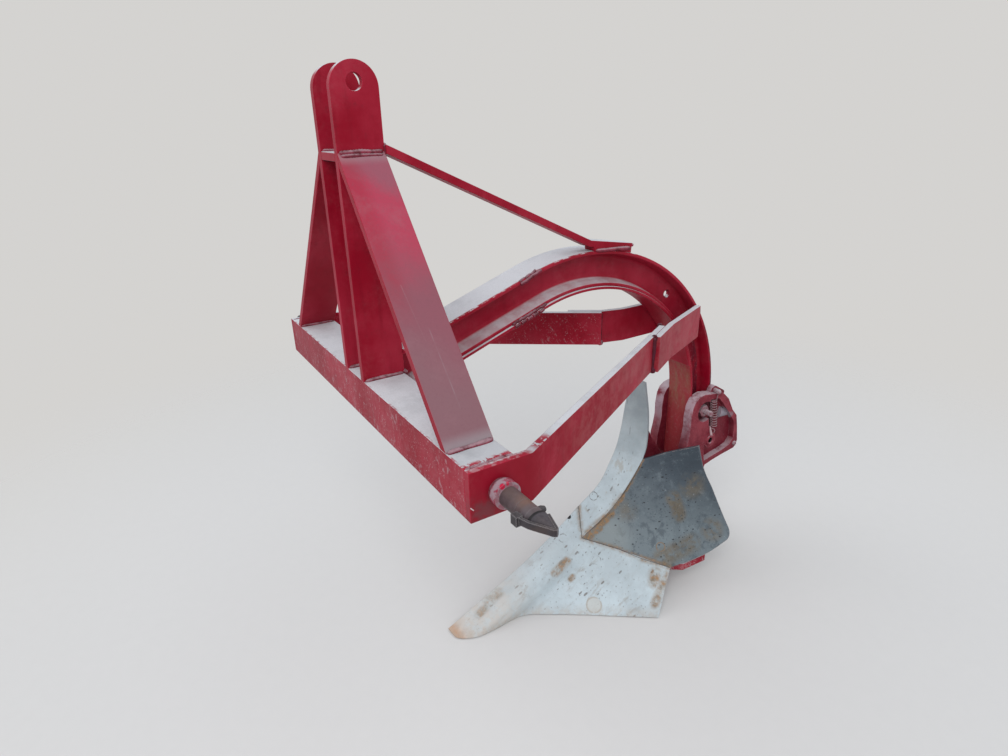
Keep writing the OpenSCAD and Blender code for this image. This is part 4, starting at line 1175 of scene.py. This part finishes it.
def joint_beads(r):
    """Tails to the shank, beam to the toolbar, brace to the upright and to the beam."""
    return [
        ((57, 814, ARM_LOW), (57, 814, ARM_HIGH), r * 1.1),
        ((-21, 814, ARM_LOW), (-21, 814, ARM_HIGH), r * 1.1),
        ((-16, 77.5, 687.5), (52, 77.5, 687.5), r),
        ((-18.5, 77.5, 660), (-18.5, 77.5, 684), r),
        ((54.5, 77.5, 660), (54.5, 77.5, 684), r),
        ((23, 77.5, 1066), (46, 77.5, 1067), r * 0.8),
        ((46.7, 78, 1053), (46.7, 78, 1067), r * 0.9),
        ((24, 601, 849.5), (53, 601, 849.5), r * 0.8),
        ((55, 500, 850.5), (55, 592, 845), r * 0.9)]


def splice_beads():
    """Rough rows across the near edges of the top flange, and of the lower flange and strap."""
    found = []
    for start, end, step, radius, count in (
            ((54.6, 320, 808.5), (54.9, 332, 815), (0, 9, 4.2), 3.4, 5),
            ((52.5, 318, 813.5), (50.5, 332, 820), (0, 13, 5.4), 2.6, 3),
            ((54.8, 300, 733), (55.6, 313, 740.5), (0, 11, 3.8), 3.3, 7),
            ((58.6, 304, 729), (58.9, 316, 735), (0, 14, 4.9), 3.2, 5)):
        for k in range(count):
            found.append((np.add(start, np.multiply(step, k)), np.add(end, np.multiply(step, k)), radius))
    return found


def beads(name, lines, pitch, seed, material):
    """One piece of weld beads, each with a seed of its own."""
    skins = [bead(placed(a), placed(b), radius / 1000, pitch, seed + k) for k, (a, b, radius) in enumerate(lines)]
    piece(name, joined(skins), material, "frame", sharp=70)


class PLOUGH_OT_welds(bpy.types.Operator):
    """Weld beads where the bars meet"""

    bl_idname = "plough.welds"
    bl_label = "Welds"

    def execute(self, context):
        size = context.scene.plough_weld
        r = size.radius * 1000
        frame_lines = mast_beads(r) + far_beads(r) + joint_beads(r)
        beads("weld_beads", frame_lines, size.pitch, 0, weld_finish("weld_metal", 0.6))
        beads("lap_beads", lap_beads(r), size.pitch, 60, weld_finish("lap_metal", 0.1))
        beads("splice_beads", splice_beads(), size.pitch * 0.8, 90, weld_finish("scar_metal", 0.45))
        return {"FINISHED"}


def head_bolt_skins():
    """At both cheeks: the bolt's threaded end through its nut, the spring's post and the pivot's domed head."""
    thread = np.arange(0, THREAD_TURNS, 0.5)
    ridges = 6.4 + 0.45 * np.cos(thread * math.pi)
    nut = CHEEK_FLOOR + 0.15, CHEEK_FLOOR + 13
    skins = []
    for s, out in ((1, CHEEK_FACE + 19), (-1, CHEEK_FACE + 6)):
        rod = zip(s * (nut[1] + thread / THREAD_TURNS * (out - nut[1])), ridges)
        skins.append(turned([(s * (CHEEK_FLOOR + 8), 6.4), *rod, (s * (out + 0.01), 5.0)], HEAD_BOLT, 32))
        skins.append(hex_nut(*sorted(s * x for x in nut), 26.8, HEAD_BOLT, 6.3))
        post = np.vstack([[(BEAM_W / 2 + 0.3, 7.0)], arc((BEAM_W / 2 + 26, 0), 7.0, 90, 2, 9)])
        skins.append(turned(post * (s, 1), SPRING_POST, 32))
        dome = np.vstack([[(0.0, 6.5)], arc((CHEEK_FACE - 0.5, 0), 6.5, 90, 2, 9)])
        skins.append(turned(dome * (s, 1), REAR_BOLT, 32))
    return [(placed(points + (BEAM_X, 0, 0)), faces) for points, faces in skins]


def hole_rings():
    """At both cheeks: a raised ring round the hole and a rib that runs up from it and dies out."""
    skins = []
    for s in (1, -1):
        ring = np.column_stack([np.full(61, BEAM_X + s * (CHEEK_FACE - 0.6)), arc(CHEEK_HOLE, 11.0, 0, 360, 61)])
        skins.append(tube(placed(ring), 0.0034, 14))
        foot, top = [BEAM_X + s * (CHEEK_FACE - 1.0), 876.5, 338.0], [BEAM_X + s * (CHEEK_FACE - 0.5), 872.0, 362.0]
        skins.append(tube(placed(np.linspace(foot, top, 8)), np.linspace(0.0064, 0.0016, 8), 14))
    return skins


def latch_coil():
    """Wire of the latch spring: a hook off the post, a coil down to the boss and a tail round it."""
    lie = BEAM_X + CHEEK_FLOOR + 10
    post, boss = np.array([lie, *SPRING_POST]), np.array([lie, *CHEEK_HOLE])
    top, foot = post + (0, -7, -23), boss + (0, 15, 31)
    across = unit(np.cross(unit(foot - top), (1, 0, 0)))
    turn = np.linspace(0, COIL_TURNS * 2 * math.pi, COIL_TURNS * 36 + 1)[:, None]
    coil = top + (foot - top) * turn / turn[-1] + COIL_R * (np.sin(turn) * (1, 0, 0) + np.cos(turn) * across)
    hook = on_curve([post + (8, -3.1, -6.9), post + (9, -5, -13), post + (6.5, -6.8, -21), coil[0]],
                    np.linspace(0, 1, 14))
    tail = on_curve([coil[-1], boss + (0, 21, 21), boss + (0, 18.6, 12)], np.linspace(0, 1, 12))
    path = placed(np.vstack([hook[:-1], coil, tail[1:]]))
    radius = np.full(len(path), 0.00115)
    radius[[0, -1]] /= 2
    return tube(path, radius, 8)


class PLOUGH_OT_trip_head(bpy.types.Operator):
    """Cast cheeks, their bolts and nuts, the pivot and the latch spring"""

    bl_idname = "plough.trip_head"
    bl_label = "Trip head"

    def execute(self, context):
        softened("cheek_left", CAST_EDGE, casting("left_casting", 1), "frame", 4)
        softened("cheek_right", CAST_EDGE, casting("right_casting", -1), "frame", 4)
        piece("head_bolt_set", joined(head_bolt_skins()), bolt_finish("head_bolt_steel"), "frame",
              ("head_bolts",), sharp=38)
        softened("trip_pin", CUT_EDGE, bolt_finish("pivot_steel"), "frame")
        piece("cheek_hole_rings", joined(hole_rings()), casting("ring_casting", 1), "frame", sharp=70)
        spring = dark_steel("spring_steel", (0.27, 0.12, 0.14), 0.3)
        piece("latch_coil", latch_coil(), spring, "frame", ("latch_spring",), sharp=70, weighted=False)
        return {"FINISHED"}


class PLOUGH_OT_bottom(bpy.types.Operator):
    """Share, shin and mouldboard as curved plates, with the frog, brace and landside behind them"""

    bl_idname = "plough.bottom"
    bl_label = "Bottom"

    def execute(self, context):
        look, paint = context.scene.plough_steel, context.scene.plough_paint
        bright = scoured_steel("scoured_share", look)
        dull = board_steel("slate_board", look)
        for name, grid, material, slot, node, wear in (
                ("share_plate", share_face(), bright, "worn_share", "share", 0.3),
                ("shin_plate", shin_face(), bright, "worn_share", "shin", 0.15),
                ("board_plate", board_face(), dull, "mouldboard_steel", "mouldboard", 0.3)):
            made = piece(name, plate(grid, PLATE_T, wear), material, "bottom", (node,), weighted=False)
            bevelled(made, "worn_rim", RIM_EDGE, 2, 45)
        side = dark_steel("landside_steel", (0.17, 0.16, 0.155), 0.3, 0.5, (0.19, 0.135, 0.1))
        frog = casting("frog_casting", 1)
        strip = red_paint("board_brace_red", paint, film=1.0, specks=1.0)
        for node, radius, material, slot in (
                ("landside", CUT_EDGE, side, "mouldboard_steel"),
                ("landside_heel", CUT_EDGE, side, "mouldboard_steel"),
                ("frog", FROG_EDGE, frog, "red_casting"), ("mouldboard_brace", CUT_EDGE, strip, "red_paint")):
            softened(node, radius, material, "bottom")
        return {"FINISHED"}


class PLOUGH_OT_pins(bpy.types.Operator):
    """Lift pins with their collars, and the linch pins"""

    bl_idname = "plough.pins"
    bl_label = "Pins"

    def execute(self, context):
        shaft = collar_finish("lift_pin_steel", context.scene.plough_steel.pin)
        clip = dark_steel("linch_steel", (0.04, 0.032, 0.036), 0.1, 0.5, (0.065, 0.04, 0.032))
        leaf = dark_steel("leaf_steel", (0.044, 0.036, 0.045), 0.06, 0.8, (0.07, 0.05, 0.05), fold=True)
        for side, sign in (("left", 1), ("right", -1)):
            body = f"{side}_linch_pin"
            softened(f"lift_pin_{side}", PIN_EDGE, shaft, "frame", 3)
            softened(f"linch_pin_{side}", CLIP_EDGE, clip, body, 3)
            piece(f"linch_leaf_{side}", linch_leaf(sign), leaf, body)
        return {"FINISHED"}


# The photograph's camera, in metres and degrees
CAMERA_PLACE = (1.036, -0.8221, 1.1097)
CAMERA_YAW = 58.27
CAMERA_PITCH = 22.58
CAMERA_ROLL = 1.46
CAMERA_LENS = 22.857

# The floor's half width, and where it starts to fade and has gone, in metres
FLOOR_HALF, FADE_START, FADE_END = 9, 0.9, 2.6
LAMP_WIDTH, LAMP_AIM = 3.0, Vector((0, 0, 0.5))


def aimed_camera(scene):
    """Camera at the photograph's place, turned by its yaw, pitch and roll."""
    yaw, pitch, roll = (math.radians(a) for a in (CAMERA_YAW, CAMERA_PITCH, CAMERA_ROLL))
    ahead = Vector((-math.sin(yaw) * math.cos(pitch), math.cos(yaw) * math.cos(pitch), -math.sin(pitch)))
    level = Vector((math.cos(yaw), math.sin(yaw), 0))
    down = ahead.cross(level)
    right = math.cos(roll) * level + math.sin(roll) * down
    up = math.sin(roll) * level - math.cos(roll) * down
    lens = bpy.data.cameras.new("camera")
    lens.lens = CAMERA_LENS
    lens.sensor_width = 36
    lens.clip_start = 0.05
    camera = bpy.data.objects.new("camera", lens)
    camera.matrix_world = Matrix.Translation(CAMERA_PLACE) @ Matrix((right, up, -ahead)).transposed().to_4x4()
    scene.collection.objects.link(camera)
    scene.camera = camera


def pale_floor(scene, look):
    """Floor that fades out a few metres from the plough."""
    floor = bpy.data.meshes.new("floor")
    corners = [(x * FLOOR_HALF, y * FLOOR_HALF, 0) for x, y in ((-1, -1), (1, -1), (1, 1), (-1, 1))]
    floor.from_pydata(corners, [], [(0, 1, 2, 3)])
    ground = bpy.data.objects.new("floor", floor)
    scene.collection.objects.link(ground)
    finish = Finish("pale_floor", roughness=0.9, specular=0.1)
    away = finish.vector("LENGTH", finish.place)
    finish.feed(finish.shader.inputs["Alpha"], away.step(FADE_END, FADE_START))
    floor.materials.append(finish.done(finish.mix(finish.noise(35, 4), darker(look.floor, 0.97), look.floor)))


def round_lamp(scene, name, place, power):
    """Round area lamp, aimed at the plough's middle."""
    lamp = bpy.data.lights.new(name, "AREA")
    lamp.shape = "DISK"
    lamp.size = LAMP_WIDTH
    lamp.energy = power
    light = bpy.data.objects.new(name, lamp)
    light.location = place
    light.rotation_euler = (LAMP_AIM - Vector(place)).to_track_quat("-Z", "Y").to_euler()
    scene.collection.objects.link(light)


def studio_world(scene, look):
    """Sky light for the plough, with the floor's colour where the camera sees the background."""
    world = bpy.data.worlds.new("studio")
    scene.world = world
    world.use_nodes = True
    tree = world.node_tree
    lit = tree.nodes["Background"]
    lit.inputs[0].default_value = (*look.sky, 1)
    lit.inputs[1].default_value = look.strength
    seen = tree.nodes.new("ShaderNodeBackground")
    seen.inputs[0].default_value = (*look.floor, 1)
    rays = tree.nodes.new("ShaderNodeLightPath")
    pick = tree.nodes.new("ShaderNodeMixShader")
    for output, socket in (
            (rays.outputs["Is Camera Ray"], pick.inputs[0]), (lit.outputs[0], pick.inputs[1]),
            (seen.outputs[0], pick.inputs[2]), (pick.outputs[0], tree.nodes["World Output"].inputs["Surface"])):
        tree.links.new(output, socket)


class PLOUGH_OT_stage(bpy.types.Operator):
    """Floor, studio light and camera"""

    bl_idname = "plough.stage"
    bl_label = "Stage"

    def execute(self, context):
        scene = context.scene
        look = scene.plough_stage
        scene.view_settings.view_transform = "Standard"
        aimed_camera(scene)
        pale_floor(scene, look)
        round_lamp(scene, "key", (2.6, -2.4, 3.4), look.key)
        round_lamp(scene, "fill", (-2.4, -2.2, 3.0), look.fill)
        round_lamp(scene, "back", (1.0, 3.2, 2.8), look.fill)
        studio_world(scene, look)
        return {"FINISHED"}


class PLOUGH_PT_panel(bpy.types.Panel):
    """Steps that dress the plough, and their sizes and colours"""

    bl_idname = "PLOUGH_PT_panel"
    bl_label = "Plough"
    bl_space_type = "VIEW_3D"
    bl_region_type = "UI"
    bl_category = "Plough"

    def draw(self, context):
        for step in STEPS:
            self.layout.operator(step.bl_idname)
        for group, _ in GROUPS:
            box = self.layout.box()
            settings = getattr(context.scene, group)
            for name in settings.bl_rna.properties.keys():
                if name not in ("rna_type", "name"):
                    box.prop(settings, name)


STEPS = (PLOUGH_OT_stage, PLOUGH_OT_frame_bars, PLOUGH_OT_beam, PLOUGH_OT_welds, PLOUGH_OT_trip_head,
         PLOUGH_OT_bottom, PLOUGH_OT_pins)
GROUPS = (("plough_paint", PLOUGH_PG_paint), ("plough_steel", PLOUGH_PG_steel), ("plough_weld", PLOUGH_PG_weld),
          ("plough_stage", PLOUGH_PG_stage))


def register():
    """Adds the settings, the steps and the panel."""
    for name, group in GROUPS:
        bpy.utils.register_class(group)
        setattr(bpy.types.Scene, name, bpy.props.PointerProperty(type=group))
    for made in (*STEPS, PLOUGH_PT_panel):
        bpy.utils.register_class(made)


def unregister():
    """Takes the panel, the steps and the settings away again."""
    for made in (PLOUGH_PT_panel, *reversed(STEPS)):
        bpy.utils.unregister_class(made)
    for name, group in reversed(GROUPS):
        delattr(bpy.types.Scene, name)
        bpy.utils.unregister_class(group)


def main():
    """Takes each step in order."""
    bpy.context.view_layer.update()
    register()
    bpy.ops.plough.stage()
    bpy.ops.plough.frame_bars()
    bpy.ops.plough.beam()
    bpy.ops.plough.welds()
    bpy.ops.plough.trip_head()
    bpy.ops.plough.bottom()
    bpy.ops.plough.pins()


if __name__ == "__main__":
    main()
